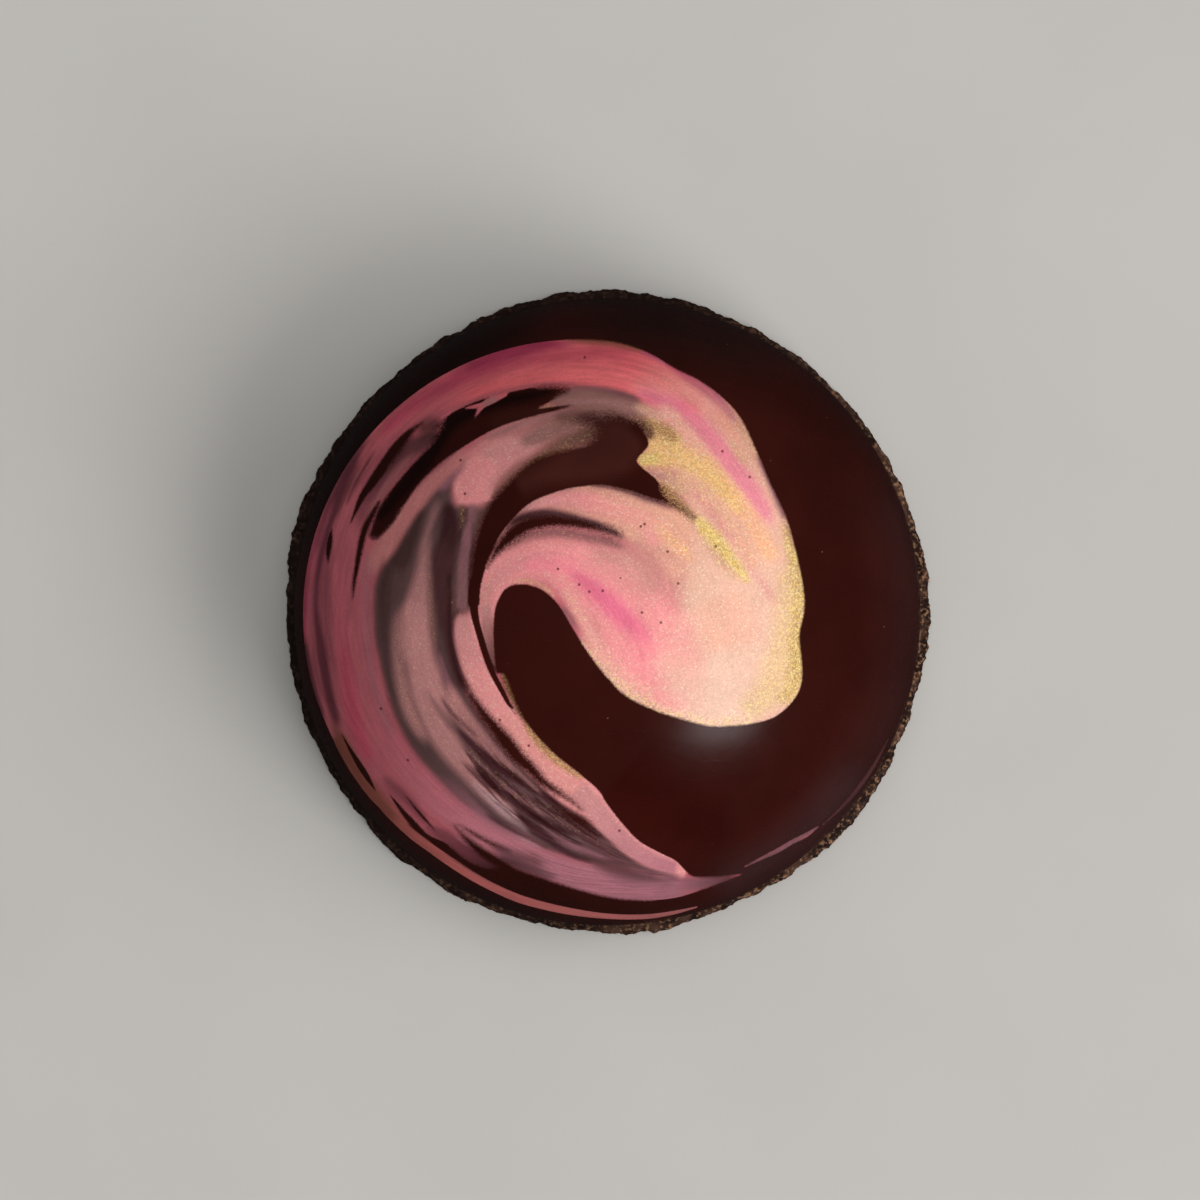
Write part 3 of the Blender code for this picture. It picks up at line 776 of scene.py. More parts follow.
def paintLeftBand(c):
    c.brush("rose", 0.8, [
        (-11.5, 4.6, 0.7), (-12.0, 2.5, 0.9), (-12.1, 0.5, 1.1), (-11.9, -1.5, 1.1), (-11.5, -3.2, 1.0),
        (-11.0, -4.8, 0.9), (-10.3, -6.2, 0.8), (-9.4, -7.4, 0.6),
    ], ends=1)
    c.brush("dullRose", 0.5, [
        (-12.3, 3.6, 0.1), (-12.5, 2.5, 0.2), (-12.6, 1.2, 0.28), (-12.55, -0.3, 0.28), (-12.4, -1.6, 0.22),
        (-12.15, -2.8, 0.15), (-11.9, -4.0, 0.08),
    ], ends=1)
    c.brush("rose to deepRose", 0.5, [
        (-11.7, 3.2, 0.15), (-11.9, 1.8, 0.25), (-11.9, 0.4, 0.3), (-11.85, -1.0, 0.34),
        (-11.7, -2.4, 0.36), (-11.45, -3.8, 0.36), (-11.15, -5.2, 0.34), (-10.75, -6.3, 0.25),
        (-10.4, -7.1, 0.1),
    ], ends=1)
    c.brush("deepRose", 0.5, [
        (-11.8, -1.2, 0.12), (-11.6, -3.0, 0.22), (-11.35, -4.6, 0.25), (-11.0, -5.9, 0.12),
    ], strength=0.7, ends=1)
    c.brush("wine", 0.35, [
        (-10.4, 8.15, 0.06), (-11.4, 6.8, 0.16), (-12.1, 5.45, 0.16), (-12.6, 4.2, 0.14),
        (-12.95, 3.0, 0.12), (-13.12, 2.2, 0.05),
    ], strength=0.9, ends=1)
    c.brush("purple", 0.16, [
        (-10.7, 7.6, 0.03), (-11.45, 6.5, 0.08), (-12.0, 5.4, 0.09), (-12.4, 4.4, 0.05),
    ], strength=0.75, ends=1)
    c.brush("purple", 0.14, [
        (-10.2, 7.4, 0.03), (-10.75, 6.6, 0.07), (-11.2, 5.85, 0.07), (-11.5, 5.1, 0.03),
    ], strength=0.7, ends=0.8)
    c.brush("wine", 0.3, [
        (-10.8, 7.3, 0.08), (-11.4, 6.35, 0.17), (-11.9, 5.3, 0.18), (-12.25, 4.3, 0.14),
        (-12.65, 3.0, 0.16), (-12.9, 1.8, 0.15), (-13.0, 0.8, 0.14), (-12.98, -0.2, 0.15),
        (-12.85, -1.2, 0.2), (-12.7, -2.1, 0.24), (-12.5, -3.3, 0.23), (-12.2, -4.5, 0.2),
        (-11.85, -5.6, 0.12),
    ], ends=1)
    c.brush("plum", 0.22, [
        (-10.9, 6.75, 0.04), (-11.5, 5.7, 0.1), (-11.95, 4.7, 0.12), (-12.25, 3.8, 0.06),
    ], strength=0.5, ends=0.8)
    c.brush("wine", 0.2, [(-10.9, 6.3, 0.03), (-11.4, 5.4, 0.07), (-11.7, 4.6, 0.04)], strength=0.8)
    c.brush("rose", 0.25, [
        (-10.9, 5.9, 0.04), (-11.35, 5.0, 0.1), (-11.6, 4.2, 0.12), (-11.8, 3.4, 0.1),
    ], strength=0.8)
    c.brush("magenta to deepMagenta", 0.2, [
        (-12.4, 5.2, 0.04), (-12.95, 3.9, 0.08), (-13.2, 2.9, 0.1), (-13.42, 1.6, 0.12),
        (-13.52, 0.4, 0.12), (-13.54, -0.8, 0.1), (-13.45, -1.8, 0.08), (-13.2, -3.0, 0.06),
    ], strength=0.85, ends=0.8)
    c.brush("orchid", 0.4, [
        (-12.1, 5.3, 0.06), (-12.7, 3.8, 0.16), (-13.1, 2.3, 0.2), (-13.25, 0.8, 0.2), (-13.3, -0.6, 0.16),
        (-13.15, -1.8, 0.06),
    ], strength=0.45, ends=1)
    c.brush("wine", 0.25, [
        (-13.5, -0.8, 0.04), (-13.42, -2.0, 0.16), (-13.2, -3.0, 0.16), (-12.85, -4.2, 0.12),
        (-12.5, -5.1, 0.06),
    ], ends=0.8)
    c.brush("dullRose", 0.2, [
        (-13.2, -1.2, 0.04), (-13.08, -2.2, 0.12), (-12.88, -3.2, 0.1), (-12.6, -4.2, 0.05),
    ], ends=0.8)
    c.brush("lilac", 0.5, [
        (-10.55, 3.0, 0.06), (-10.75, 1.8, 0.14), (-10.75, 0.3, 0.16), (-10.7, -1.2, 0.16),
        (-10.55, -2.6, 0.16), (-10.25, -3.8, 0.16), (-9.8, -5.1, 0.16), (-9.2, -6.2, 0.15),
        (-8.3, -7.4, 0.14), (-7.3, -8.3, 0.1),
    ], strength=0.6, ends=1)
    c.brush("dullRose", 0.2, [(-11.3, 2.2, 0.04), (-11.42, 1.0, 0.08), (-11.5, -0.5, 0.04)], strength=0.9)
    c.brush("tan", 0.3, [(-12.3, -4.7, 0.06), (-12.05, -5.4, 0.12), (-11.7, -6.1, 0.06)], strength=0.7)
    c.brush("pink", 0.35, [
        (-10.4, -5.0, 0.04), (-9.7, -6.3, 0.1), (-9.1, -7.1, 0.1), (-8.4, -8.0, 0.05),
    ], strength=0.25)


def paintGreyStream(c):
    c.brush("darkSmoke to smoke", 0.6, [
        (-9.6, 2.6, 0.2), (-9.95, 1.4, 0.3), (-10.0, 0.3, 0.3), (-10.0, -0.8, 0.22), (-9.9, -2, 0.16),
        (-9.75, -3, 0.14), (-9.5, -4, 0.16), (-9.1, -5, 0.18), (-8.5, -6, 0.24), (-7.65, -7, 0.3),
        (-7.1, -7.6, 0.3),
    ], ends=0.8)
    c.brush("smoke to lilac", 0.5, [
        (-7.9, -6.9, 0.1), (-6.9, -7.85, 0.26), (-6.2, -8.5, 0.24), (-5.55, -9.1, 0.16), (-4.9, -9.6, 0.1),
    ], ends=1)
    c.brush("lilac to lightLilac", 0.5, [
        (-6.4, -8.7, 0.1), (-5.5, -9.4, 0.25), (-4.6, -9.95, 0.35), (-3.7, -10.35, 0.35),
        (-2.8, -10.75, 0.2),
    ], strength=0.85)
    # the light stream and the gold-grained one beside it
    c.brush("greyPink to silverPink", 0.6, [
        (-8.0, 3.8, 0.08), (-8.15, 2.8, 0.18), (-8.25, 1.8, 0.3), (-8.4, 0.8, 0.45), (-8.5, -0.3, 0.55),
        (-8.45, -1.2, 0.6),
    ], ends=1.2)
    c.brush("silverPink", 0.6, [
        (-8.42, 0.6, 0.25), (-8.45, -0.8, 0.5), (-8.35, -1.9, 0.6), (-8.15, -2.8, 0.65), (-7.9, -3.7, 0.6),
        (-7.6, -4.6, 0.5),
    ], ends=1)
    c.brush("silverPink to greyPink", 0.5, [
        (-8.3, -2.2, 0.5), (-8.0, -3.5, 0.65), (-7.65, -4.7, 0.62), (-7.15, -5.8, 0.55), (-6.5, -6.7, 0.45),
        (-5.75, -7.55, 0.4), (-5.0, -8.35, 0.34), (-4.3, -9.0, 0.22), (-3.7, -9.5, 0.06),
    ], ends=0.8)
    c.brush("greyPink to silverPink", 0.5, [
        (-9.2, 0.6, 0.08), (-9.4, -0.6, 0.18), (-9.35, -2.0, 0.24), (-9.15, -3.2, 0.28),
        (-8.85, -4.3, 0.28), (-8.35, -5.3, 0.22), (-7.8, -6.1, 0.1),
    ], gold=0.25, strength=0.85, ends=1.2)
    c.brush("silverPink", 0.6, [
        (-8.7, 0.9, 0.1), (-8.95, -0.2, 0.25), (-9.0, -1.4, 0.25), (-8.85, -2.6, 0.15),
    ], strength=0.8, ends=0.8)
    c.brush("beigeGrey", 0.3, [
        (-7.95, 2.7, 0.06), (-7.9, 1.4, 0.1), (-7.85, 0.2, 0.12), (-7.75, -0.9, 0.1), (-7.6, -1.8, 0.05),
    ], strength=0.7, gold=0.3, ends=0.8)
    # plum, lilac and the line between them
    c.brush("plum", 0.4, [
        (-7.3, 3.4, 0.36), (-7.38, 2.0, 0.42), (-7.4, 1.0, 0.34), (-7.3, 0.0, 0.3), (-7.12, -1.0, 0.24),
        (-6.88, -2.0, 0.24), (-6.58, -3.0, 0.22), (-6.2, -3.8, 0.18),
    ], ends=1)
    c.brush("darkPlum", 0.3, [
        (-7.1, 2.2, 0.08), (-7.02, 1.0, 0.12), (-7.02, -0.2, 0.14), (-6.95, -1.4, 0.16),
        (-6.75, -2.3, 0.17), (-6.5, -3.1, 0.16), (-6.2, -3.8, 0.1),
    ], strength=0.9, ends=0.8)
    c.brush("ash", 0.2, [
        (-6.3, 3.2, 0.12), (-6.42, 2.2, 0.2), (-6.48, 1.2, 0.24), (-6.5, 0.4, 0.24), (-6.56, -0.1, 0.16),
    ], ends=0.4)
    c.brush("plum", 0.2, [
        (-6.5, 0.15, 0.3), (-6.68, -0.3, 0.16), (-6.85, -0.7, 0.06),
    ], strength=0.6, ends=0.15)
    c.brush("umber", 0.14, [
        (-6.86, 1.6, 0.04), (-6.88, 0.5, 0.06), (-6.86, -0.4, 0.04),
    ], strength=0.6, gold=0.4)
    c.brush("lilac", 0.16, [
        (-7.55, -1.6, 0.03), (-7.25, -2.7, 0.07), (-6.8, -3.7, 0.07), (-6.4, -4.4, 0.03),
    ], strength=0.8)
    c.brush("plum", 0.2, [
        (-6.05, 4.4, 0.03), (-6.0, 3.2, 0.05), (-6.12, 2.0, 0.05), (-6.2, 0.6, 0.03),
    ], strength=0.7)


def paintLowerStreaks(c):
    c.brush(None, 0.8, [
        (-6.4, -5.9, 0.5), (-5.2, -7.1, 0.9), (-3.8, -8.4, 1.0), (-2.4, -9.4, 0.9), (-0.8, -10.4, 0.6),
    ], streak=1.0, gold=0.06)
    c.brush("silverPink to smokeLilac", 0.35, [
        (-7.3, -2.9, 0.15), (-6.95, -3.7, 0.28), (-6.6, -4.4, 0.36), (-6.1, -5.1, 0.36), (-5.5, -5.8, 0.34),
        (-4.9, -6.4, 0.26), (-4.3, -7.0, 0.2), (-3.6, -7.45, 0.1),
    ], gold=0.15, ends=1)
    c.brush("greyPink to smoke", 0.4, [
        (-8.3, -3.2, 0.04), (-7.6, -4.2, 0.12), (-7.0, -5.0, 0.15), (-6.4, -5.55, 0.16),
    ], strength=0.9, ends=0.8)
    c.brush("purple to darkPlum", 0.25, [
        (-6.9, -5.0, 0.05), (-6.3, -5.6, 0.14), (-5.7, -6.2, 0.18), (-5.1, -6.8, 0.2), (-4.6, -7.15, 0.17),
        (-4.0, -7.5, 0.16), (-3.2, -7.9, 0.15), (-2.7, -8.25, 0.16), (-2.2, -8.6, 0.14), (-1.8, -9.0, 0.08),
    ], ends=0.6)
    c.brush("smokeLilac", 0.22, [
        (-6.45, -5.8, 0.06), (-6.0, -6.4, 0.15), (-5.5, -6.98, 0.17), (-5.0, -7.4, 0.15),
        (-4.4, -7.9, 0.15), (-3.6, -8.4, 0.17), (-3.0, -8.7, 0.15), (-2.3, -9.1, 0.15), (-1.8, -9.5, 0.13),
        (-1.3, -9.8, 0.1), (-0.8, -10.1, 0.05),
    ], strength=0.8, gold=0.3)
    c.brush("purple to darkPlum", 0.22, [
        (-6.1, -6.7, 0.06), (-5.5, -7.35, 0.15), (-5.1, -7.7, 0.17), (-4.6, -8.05, 0.16),
        (-4.0, -8.6, 0.15), (-3.4, -9.0, 0.16), (-2.9, -9.3, 0.16), (-2.4, -9.6, 0.13), (-1.9, -9.8, 0.1),
        (-1.2, -10.05, 0.04),
    ])
    c.brush("purple", 0.16, [
        (-7.6, -3.6, 0.03), (-7.0, -4.4, 0.07), (-6.3, -5.1, 0.08), (-5.6, -5.75, 0.06),
    ], strength=0.7)
    c.brush("purple", 0.14, [
        (-6.6, -6.5, 0.03), (-6.0, -7.1, 0.07), (-5.4, -7.7, 0.07), (-4.8, -8.25, 0.04),
    ], strength=0.8)
    c.brush("purple to plum", 0.16, [
        (-5.6, -8.9, 0.03), (-4.9, -9.35, 0.08), (-4.2, -9.75, 0.08), (-3.4, -10.15, 0.08),
        (-2.6, -10.6, 0.05),
    ], strength=0.8)
    c.brush("greyPink", 0.14, [
        (-5.0, -6.0, 0.03), (-4.3, -6.9, 0.08), (-3.5, -7.6, 0.08), (-2.8, -8.2, 0.04),
    ], strength=0.6)
    c.brush("ash", 0.14, [
        (-4.9, -7.6, 0.03), (-4.1, -8.15, 0.08), (-3.3, -8.75, 0.08), (-2.6, -9.2, 0.04),
    ], strength=0.8)
    c.brush("plum", 0.14, [
        (-3.9, -10.5, 0.03), (-3.1, -10.85, 0.07), (-2.2, -11.2, 0.06), (-1.3, -11.5, 0.03),
    ], strength=0.7)
    c.brush("mist", 0.3, [
        (-6.2, -7.4, 0.05), (-5.6, -8.0, 0.12), (-5.0, -8.5, 0.2), (-4.5, -8.95, 0.22), (-3.9, -9.45, 0.12),
        (-3.3, -9.9, 0.05),
    ], strength=0.9)
    c.brush("mist", 0.14, [(-4.2, -9.9, 0.03), (-3.5, -10.25, 0.07), (-2.8, -10.6, 0.03)], strength=0.5)
    c.brush("purple", 0.22, [
        (-4.2, -8.75, 0.05), (-3.6, -9.4, 0.16), (-3.2, -9.7, 0.18), (-2.8, -10.0, 0.17),
        (-2.3, -10.4, 0.15), (-1.8, -10.72, 0.12), (-1.1, -11.0, 0.08), (-0.5, -11.15, 0.03),
    ])
    c.brush("smokeLilac to lilac", 0.22, [
        (-3.2, -9.3, 0.03), (-2.6, -9.75, 0.08), (-2.0, -10.2, 0.12), (-1.3, -10.52, 0.15),
        (-0.6, -10.8, 0.14), (0.1, -11.02, 0.1), (0.8, -11.2, 0.04),
    ], strength=0.85)
    c.brush("umber", 0.2, [
        (-1.6, -9.45, 0.05), (-1.0, -9.85, 0.12), (-0.4, -10.3, 0.12), (0.2, -10.8, 0.06),
    ], strength=0.6, gold=0.3)
    c.brush("lightLilac", 0.3, [
        (-3.8, -10.15, 0.06), (-2.9, -10.7, 0.16), (-2.0, -11.08, 0.16), (-1.0, -11.35, 0.1),
        (0.0, -11.5, 0.05),
    ], strength=0.6)
    c.brush("purple", 0.14, [(-2.0, -10.75, 0.03), (-1.2, -11.05, 0.06), (-0.4, -11.3, 0.03)], strength=0.8)
    c.brush("purple", 0.14, [
        (-0.3, -10.95, 0.03), (0.6, -11.25, 0.06), (1.4, -11.5, 0.06), (2.2, -11.72, 0.04),
        (3.0, -11.82, 0.02),
    ], strength=0.8)
    c.brush("darkPlum", 0.2, [
        (-2.2, -8.75, 0.03), (-1.5, -9.3, 0.08), (-0.9, -9.7, 0.08), (-0.4, -10.1, 0.03),
    ], strength=0.7)


def paintTail(c):
    c.brush("silverPink to tail", 0.2, [
        (-6.4, 0.1, 0.22), (-6.45, -0.6, 0.34), (-6.35, -1.3, 0.4), (-6.1, -2.2, 0.42), (-5.7, -3.1, 0.42),
    ], ends=0.4)
    c.brush("tail", 0.4, [
        (-6.1, -1.8, 0.15), (-5.7, -2.9, 0.35), (-5.1, -4.0, 0.45), (-4.3, -5.1, 0.4),
    ], ends=0.8)
    c.brush("tailPeach", 0.5, [
        (-4.9, -4.3, 0.25), (-3.8, -5.6, 0.4), (-2.8, -6.6, 0.45), (-1.8, -7.6, 0.45), (-0.9, -8.5, 0.35),
    ], ends=1)
    c.brush("plum to smokeLilac", 0.3, [
        (-2.4, -8.4, 0.1), (-1.6, -9.1, 0.3), (-0.9, -9.75, 0.4), (-0.2, -10.35, 0.4), (0.6, -10.95, 0.3),
        (1.5, -11.4, 0.2), (2.4, -11.72, 0.14), (3.4, -11.9, 0.06),
    ], streak=0.8)
    c.brush("silverPink to lightLilac", 0.3, [
        (-1.5, -7.75, 0.5), (-0.75, -8.55, 0.5), (-0.1, -9.3, 0.45), (0.7, -10.15, 0.4),
        (1.6, -10.85, 0.36), (2.5, -11.25, 0.32), (3.3, -11.5, 0.26),
    ], ends=0.4)
    c.brush("smoke", 0.16, [
        (-1.2, -9.1, 0.03), (-0.5, -9.8, 0.06), (0.3, -10.6, 0.06), (1.2, -11.25, 0.05),
        (2.3, -11.62, 0.05), (3.4, -11.82, 0.03),
    ], strength=0.7)
    c.brush("silverPink to plum", 0.3, [
        (-5.4, 0.4, 0.26), (-5.4, -0.5, 0.26), (-5.35, -1.1, 0.26), (-5.25, -1.7, 0.24),
        (-5.15, -2.2, 0.22), (-5.0, -2.8, 0.2),
    ], ends=0.2)
    c.brush("bronze", 0.14, [
        (-5.1, 0.1, 0.03), (-5.12, -1.0, 0.06), (-5.02, -2.2, 0.06),
    ], strength=0.6, gold=0.3)
    c.brush("bronze", 0.2, [
        (-4.7, -2.6, 0.14), (-4.4, -3.3, 0.2), (-4.05, -4.0, 0.2), (-3.75, -4.6, 0.18), (-3.3, -5.2, 0.06),
    ], gold=0.5, ends=0.2, soft=0.1, thin=0.1)
    c.brush("oldGold", 0.26, [
        (-3.8, -4.75, 0.08), (-3.2, -5.6, 0.18), (-2.5, -6.35, 0.2), (-1.7, -7.0, 0.16),
        (-0.9, -7.55, 0.05),
    ], strength=0.9, gold=0.85, soft=0.1)
    c.brush("tan", 0.1, [
        (-3.9, -4.75, 0.02), (-3.3, -5.5, 0.04), (-2.7, -6.2, 0.03),
    ], strength=0.6, ends=0.3)


def paintLowerBands(c):
    c.brush("rose to rosePink", 0.5, [
        (-10.1, -5.2, 0.4), (-9.0, -6.8, 0.55), (-7.8, -8.1, 0.6), (-6.6, -9.2, 0.55), (-5.6, -9.95, 0.45),
    ], ends=1)
    c.brush("rosePink to lightLilac", 0.5, [
        (-7.0, -8.9, 0.4), (-5.6, -9.95, 0.5), (-4.4, -10.6, 0.5), (-3.0, -11.25, 0.6),
    ], ends=1)
    c.brush("lightLilac to lilac", 0.5, [
        (-3.8, -10.9, 0.5), (-1.8, -11.7, 0.6), (-0.2, -12.1, 0.7), (1.4, -12.3, 0.7), (2.8, -12.35, 0.6),
        (4.0, -12.2, 0.4),
    ], ends=1)
    c.brush("plum to smokeLilac", 0.6, [
        (-5.6, -10.2, 0.06), (-4.4, -10.8, 0.24), (-3.4, -11.1, 0.26), (-2.4, -11.4, 0.12),
    ], strength=0.8, ends=0.8)
    c.brush("purple to smokeLilac", 0.4, [
        (-5.1, -10.85, 0.1), (-4.1, -11.25, 0.22), (-3.1, -11.6, 0.2), (-2.0, -11.95, 0.06),
    ], strength=0.9)
    c.brush("lightLilac", 0.35, [
        (-2.6, -11.65, 0.06), (-1.4, -12.0, 0.2), (-0.4, -12.3, 0.2), (0.8, -12.5, 0.12),
        (2.4, -12.55, 0.06),
    ], strength=0.5)
    c.brush("smokeLilac", 0.5, [
        (-0.9, -11.1, 0.1), (0.2, -11.5, 0.28), (1.2, -11.8, 0.28), (2.3, -12.0, 0.14), (3.2, -12.1, 0.06),
    ], strength=0.75)
    c.brush("plum", 0.4, [
        (-1.6, -10.6, 0.08), (-0.5, -11.1, 0.2), (0.6, -11.5, 0.2), (1.8, -11.8, 0.13), (2.9, -11.95, 0.04),
    ], strength=0.6, ends=1)
    c.brush("purple", 0.2, [(2.4, -11.8, 0.04), (3.2, -11.95, 0.08), (4.1, -11.98, 0.04)], strength=0.5)
    c.brush("lilac to dark", 0.6, [
        (2.6, -12.35, 0.2), (4.2, -12.1, 0.4), (5.4, -11.9, 0.36), (6.4, -11.6, 0.2),
    ], ends=1.2, soft=0.2)
    c.brush(None, 0.8, [
        (-3.8, -10.9, 0.4), (-1.8, -11.7, 0.5), (0.6, -12.2, 0.5), (3.0, -12.4, 0.4),
    ], streak=0.5)
    # the strips by the dark lines low on the left
    c.brush("dullRose to wine", 0.4, [
        (-10.2, -7.2, 0.08), (-9.5, -7.85, 0.24), (-8.9, -8.4, 0.24), (-8.4, -9.0, 0.15),
        (-7.9, -9.6, 0.08),
    ], strength=0.9)
    c.brush("dullRose to darkPlum", 0.3, [
        (-8.2, -9.5, 0.1), (-7.3, -10.0, 0.3), (-6.7, -10.5, 0.35), (-6.0, -11.0, 0.4), (-5.2, -11.4, 0.4),
        (-4.8, -11.6, 0.3),
    ], ends=0.2)
    c.brush("lilac", 0.2, [
        (-6.9, -9.9, 0.04), (-6.1, -10.4, 0.08), (-5.3, -10.85, 0.1), (-4.4, -11.2, 0.06),
    ], strength=0.8)
    c.brush("ash", 0.25, [(-6.3, -9.95, 0.06), (-5.8, -10.4, 0.08), (-5.2, -10.85, 0.06)], strength=0.6)
    c.brush(None, 0.5, [
        (-7.2, -10.2, 0.3), (-5.8, -11.0, 0.5), (-4.4, -11.5, 0.5), (-3.0, -11.9, 0.4), (-1.5, -12.3, 0.3),
        (0.4, -12.8, 0.25), (2.4, -12.9, 0.2),
    ], soft=0.24)
    c.brush(None, 0.4, [(-9.6, -8.5, 0.3), (-8.6, -9.6, 0.3), (-7.6, -10.3, 0.3)], soft=0.16)
    # the line along the rim
    c.brush("tan to salmonLine", 0.3, [
        (-12.2, -5.3, 0.3), (-11.7, -6.2, 0.35), (-11.2, -7.15, 0.35), (-10.5, -8.1, 0.38),
        (-9.7, -9.0, 0.4), (-8.8, -9.85, 0.4), (-7.8, -10.6, 0.4), (-6.4, -11.55, 0.4),
    ], ends=0.5)
    c.brush("tan", 0.3, [
        (-11.9, -5.9, 0.2), (-11.3, -7.0, 0.2), (-10.6, -8.0, 0.2), (-9.9, -8.8, 0.18), (-9.2, -9.5, 0.1),
    ], ends=0.8, strength=0.7)
    c.brush("salmonLine to paleLine", 0.3, [
        (-6.9, -11.2, 0.4), (-5.0, -12.35, 0.4), (-3.4, -12.95, 0.4), (-1.6, -13.4, 0.35),
        (0.6, -13.6, 0.3), (2.6, -13.5, 0.25), (4.2, -13.15, 0.2),
    ], ends=0.5)
    c.brush("smokeLilac", 0.14, [
        (-7.4, -10.65, 0.03), (-6.4, -11.32, 0.05), (-5.4, -11.88, 0.07), (-4.2, -12.42, 0.07),
        (-3.0, -12.8, 0.07), (-1.8, -13.1, 0.05),
    ], strength=0.7)
    c.brush("smokeLilac", 0.2, [
        (6.2, -11.35, 0.1), (7.4, -10.8, 0.15), (8.4, -10.2, 0.15), (9.5, -9.5, 0.1),
    ], ends=0.1)
    c.brush("lilac", 0.2, [
        (7.3, -10.82, 0.03), (7.8, -10.56, 0.07), (8.3, -10.25, 0.05), (8.9, -9.95, 0.07),
        (9.3, -9.68, 0.03),
    ], strength=0.3, ends=0.1)
    c.brush("plum", 0.2, [
        (9.6, -9.5, 0.15), (10.6, -8.6, 0.18), (11.6, -7.4, 0.18), (12.6, -5.7, 0.15),
    ], ends=0.1)


def paintSwirl(c):
    outline = [place for part in swirl.values() for place in part]
    c.lay(c.area(outline), 0.05)
    for soft, shape in bareAreas:
        c.leaveBare(c.area(shape), soft)
    for soft, shape in bareRibbons:
        c.leaveBare(c.ribbon(shape), soft)
    for soft, shape in filmRibbons:
        c.lay(c.ribbon(shape), soft)
    # underneath first
    for paint in (paintGround, paintBase, paintTopBand, paintBody, paintCrest, paintHead, paintSecondStroke,
                  paintLobe, paintArm, paintLeftBand, paintGreyStream, paintLowerStreaks, paintTail,
                  paintLowerBands):
        paint(c)


dome = {
    "rings": 176,  # rings of points from the crown to the rim
    "wallSteps": 2,  # from the rim down into the closing layer
    "sink": 0.35,  # how far the wall goes down, in millimetres
    "wallTaper": 0.002,  # and how much it draws in at each step
    "reach": 0.9,  # the painting is held to this distance from its edges
    "restSoftness": 0.1,  # for the parts that have no paint on them
    "goldFleck": (255, 226, 138),
    "glint": (255, 236, 206),
    "dust": (150, 110, 100),
    "drop": (92, 22, 26),
    "dropEdge": (0.04, 0.08),  # millimetres from its middle, where a drop starts to end and where it ends
    "fineGrain": 23000,  # patterns to a metre: less than a tenth of a millimetre
    "clumpGrain": 8000,
    "fleckGrain": 23000,
    "glitterGrain": 18000,
    "dropletGrain": 620,
    "patchGrain": 700,
    "mottleGrain": 150,
    "dustGrain": 1300,
    "scuffGrain": (1400, 5200, 1400),
    "dragGrain": (5.5, 0.4, 1.0),  # to a millimetre, across the stroke and along it
    "gloss": 0.25,
    "paintedGloss": 0.34,
    "goldSheen": 0.1,
    "refraction": 1.46,
    "reliefShare": 0.12,
    "reliefDepth": 0.00002,
}


def domePoints():
    # ring k has 6k points, so that the facets stay even from the crown to the rim
    rings = dome["rings"]
    places = [(0.0, 0.0, crown)]
    rise = crown - rimHeight
    for k in range(1, rings + 1):
        slope = math.pi / 2 * k / rings
        turn = 2 * math.pi * np.arange(6 * k) / (6 * k)
        radius = domeRadius * math.sin(slope)
        places.append(np.stack([radius * np.cos(turn), radius * np.sin(turn),
                                np.full(6 * k, rimHeight + rise * math.cos(slope))], 1))
    painted = sum(len(part) if k else 1 for k, part in enumerate(places))
    for step in range(1, dome["wallSteps"] + 1):
        low = places[rings].copy()
        low[:, :2] *= 1 - dome["wallTaper"] * step
        low[:, 2] -= dome["sink"] * step / dome["wallSteps"]
        places.append(low)
    places.append([(0.0, 0.0, rimHeight - dome["sink"])])
    return np.vstack([np.array(places[0])[None]] + places[1:]), painted


def domeFaces():
    # six wedges; ring k starts at point 1 + 3k(k - 1)
    rings = dome["rings"]
    faces = [[(0, 1 + m, 1 + (m + 1) % 6) for m in range(6)]]
    for k in range(1, rings):
        inner, outer = 1 + 3 * k * (k - 1), 1 + 3 * k * (k + 1)
        side = np.repeat(np.arange(6), k + 1)
        step = np.tile(np.arange(k + 1), 6)
        a = inner + (side * k + step) % (6 * k)
        b = outer + side * (k + 1) + step
        c = outer + (side * (k + 1) + step + 1) % (6 * k + 6)
        faces.append(np.stack([a, b, c], 1))
        side = np.repeat(np.arange(6), k)
        step = np.tile(np.arange(k), 6)
        a = inner + side * k + step
        b = outer + side * (k + 1) + step + 1
        c = inner + (side * k + step + 1) % (6 * k)
        faces.append(np.stack([a, b, c], 1))
    around = 6 * rings
    start = 1 + 3 * rings * (rings - 1)
    m = np.arange(around)
    for step in range(dome["wallSteps"]):
        a, b = start + m, start + (m + 1) % around
        c, d = a + around, b + around
        faces.append(np.stack([a, c, d], 1))
        faces.append(np.stack([a, d, b], 1))
        start += around
    last = start + around
    faces.append(np.stack([start + m, np.full(around, last), start + (m + 1) % around], 1))
    return np.vstack(faces)


def meshFrom(name, places, faces):
    # places are millimetres; the faces are all triangles or all quads
    faces = np.asarray(faces, np.int32)
    mesh = bpy.data.meshes.new(name)
    mesh.vertices.add(len(places))
    mesh.vertices.foreach_set("co", (np.asarray(places) * mm).astype(np.float32).ravel())
    mesh.loops.add(faces.size)
    mesh.loops.foreach_set("vertex_index", faces.ravel())
    mesh.polygons.add(len(faces))
    mesh.polygons.foreach_set("loop_start", np.arange(0, faces.size, faces.shape[1], dtype=np.int32))
    mesh.update(calc_edges=True)
    mesh.validate()
    mesh.shade_smooth()
    return mesh


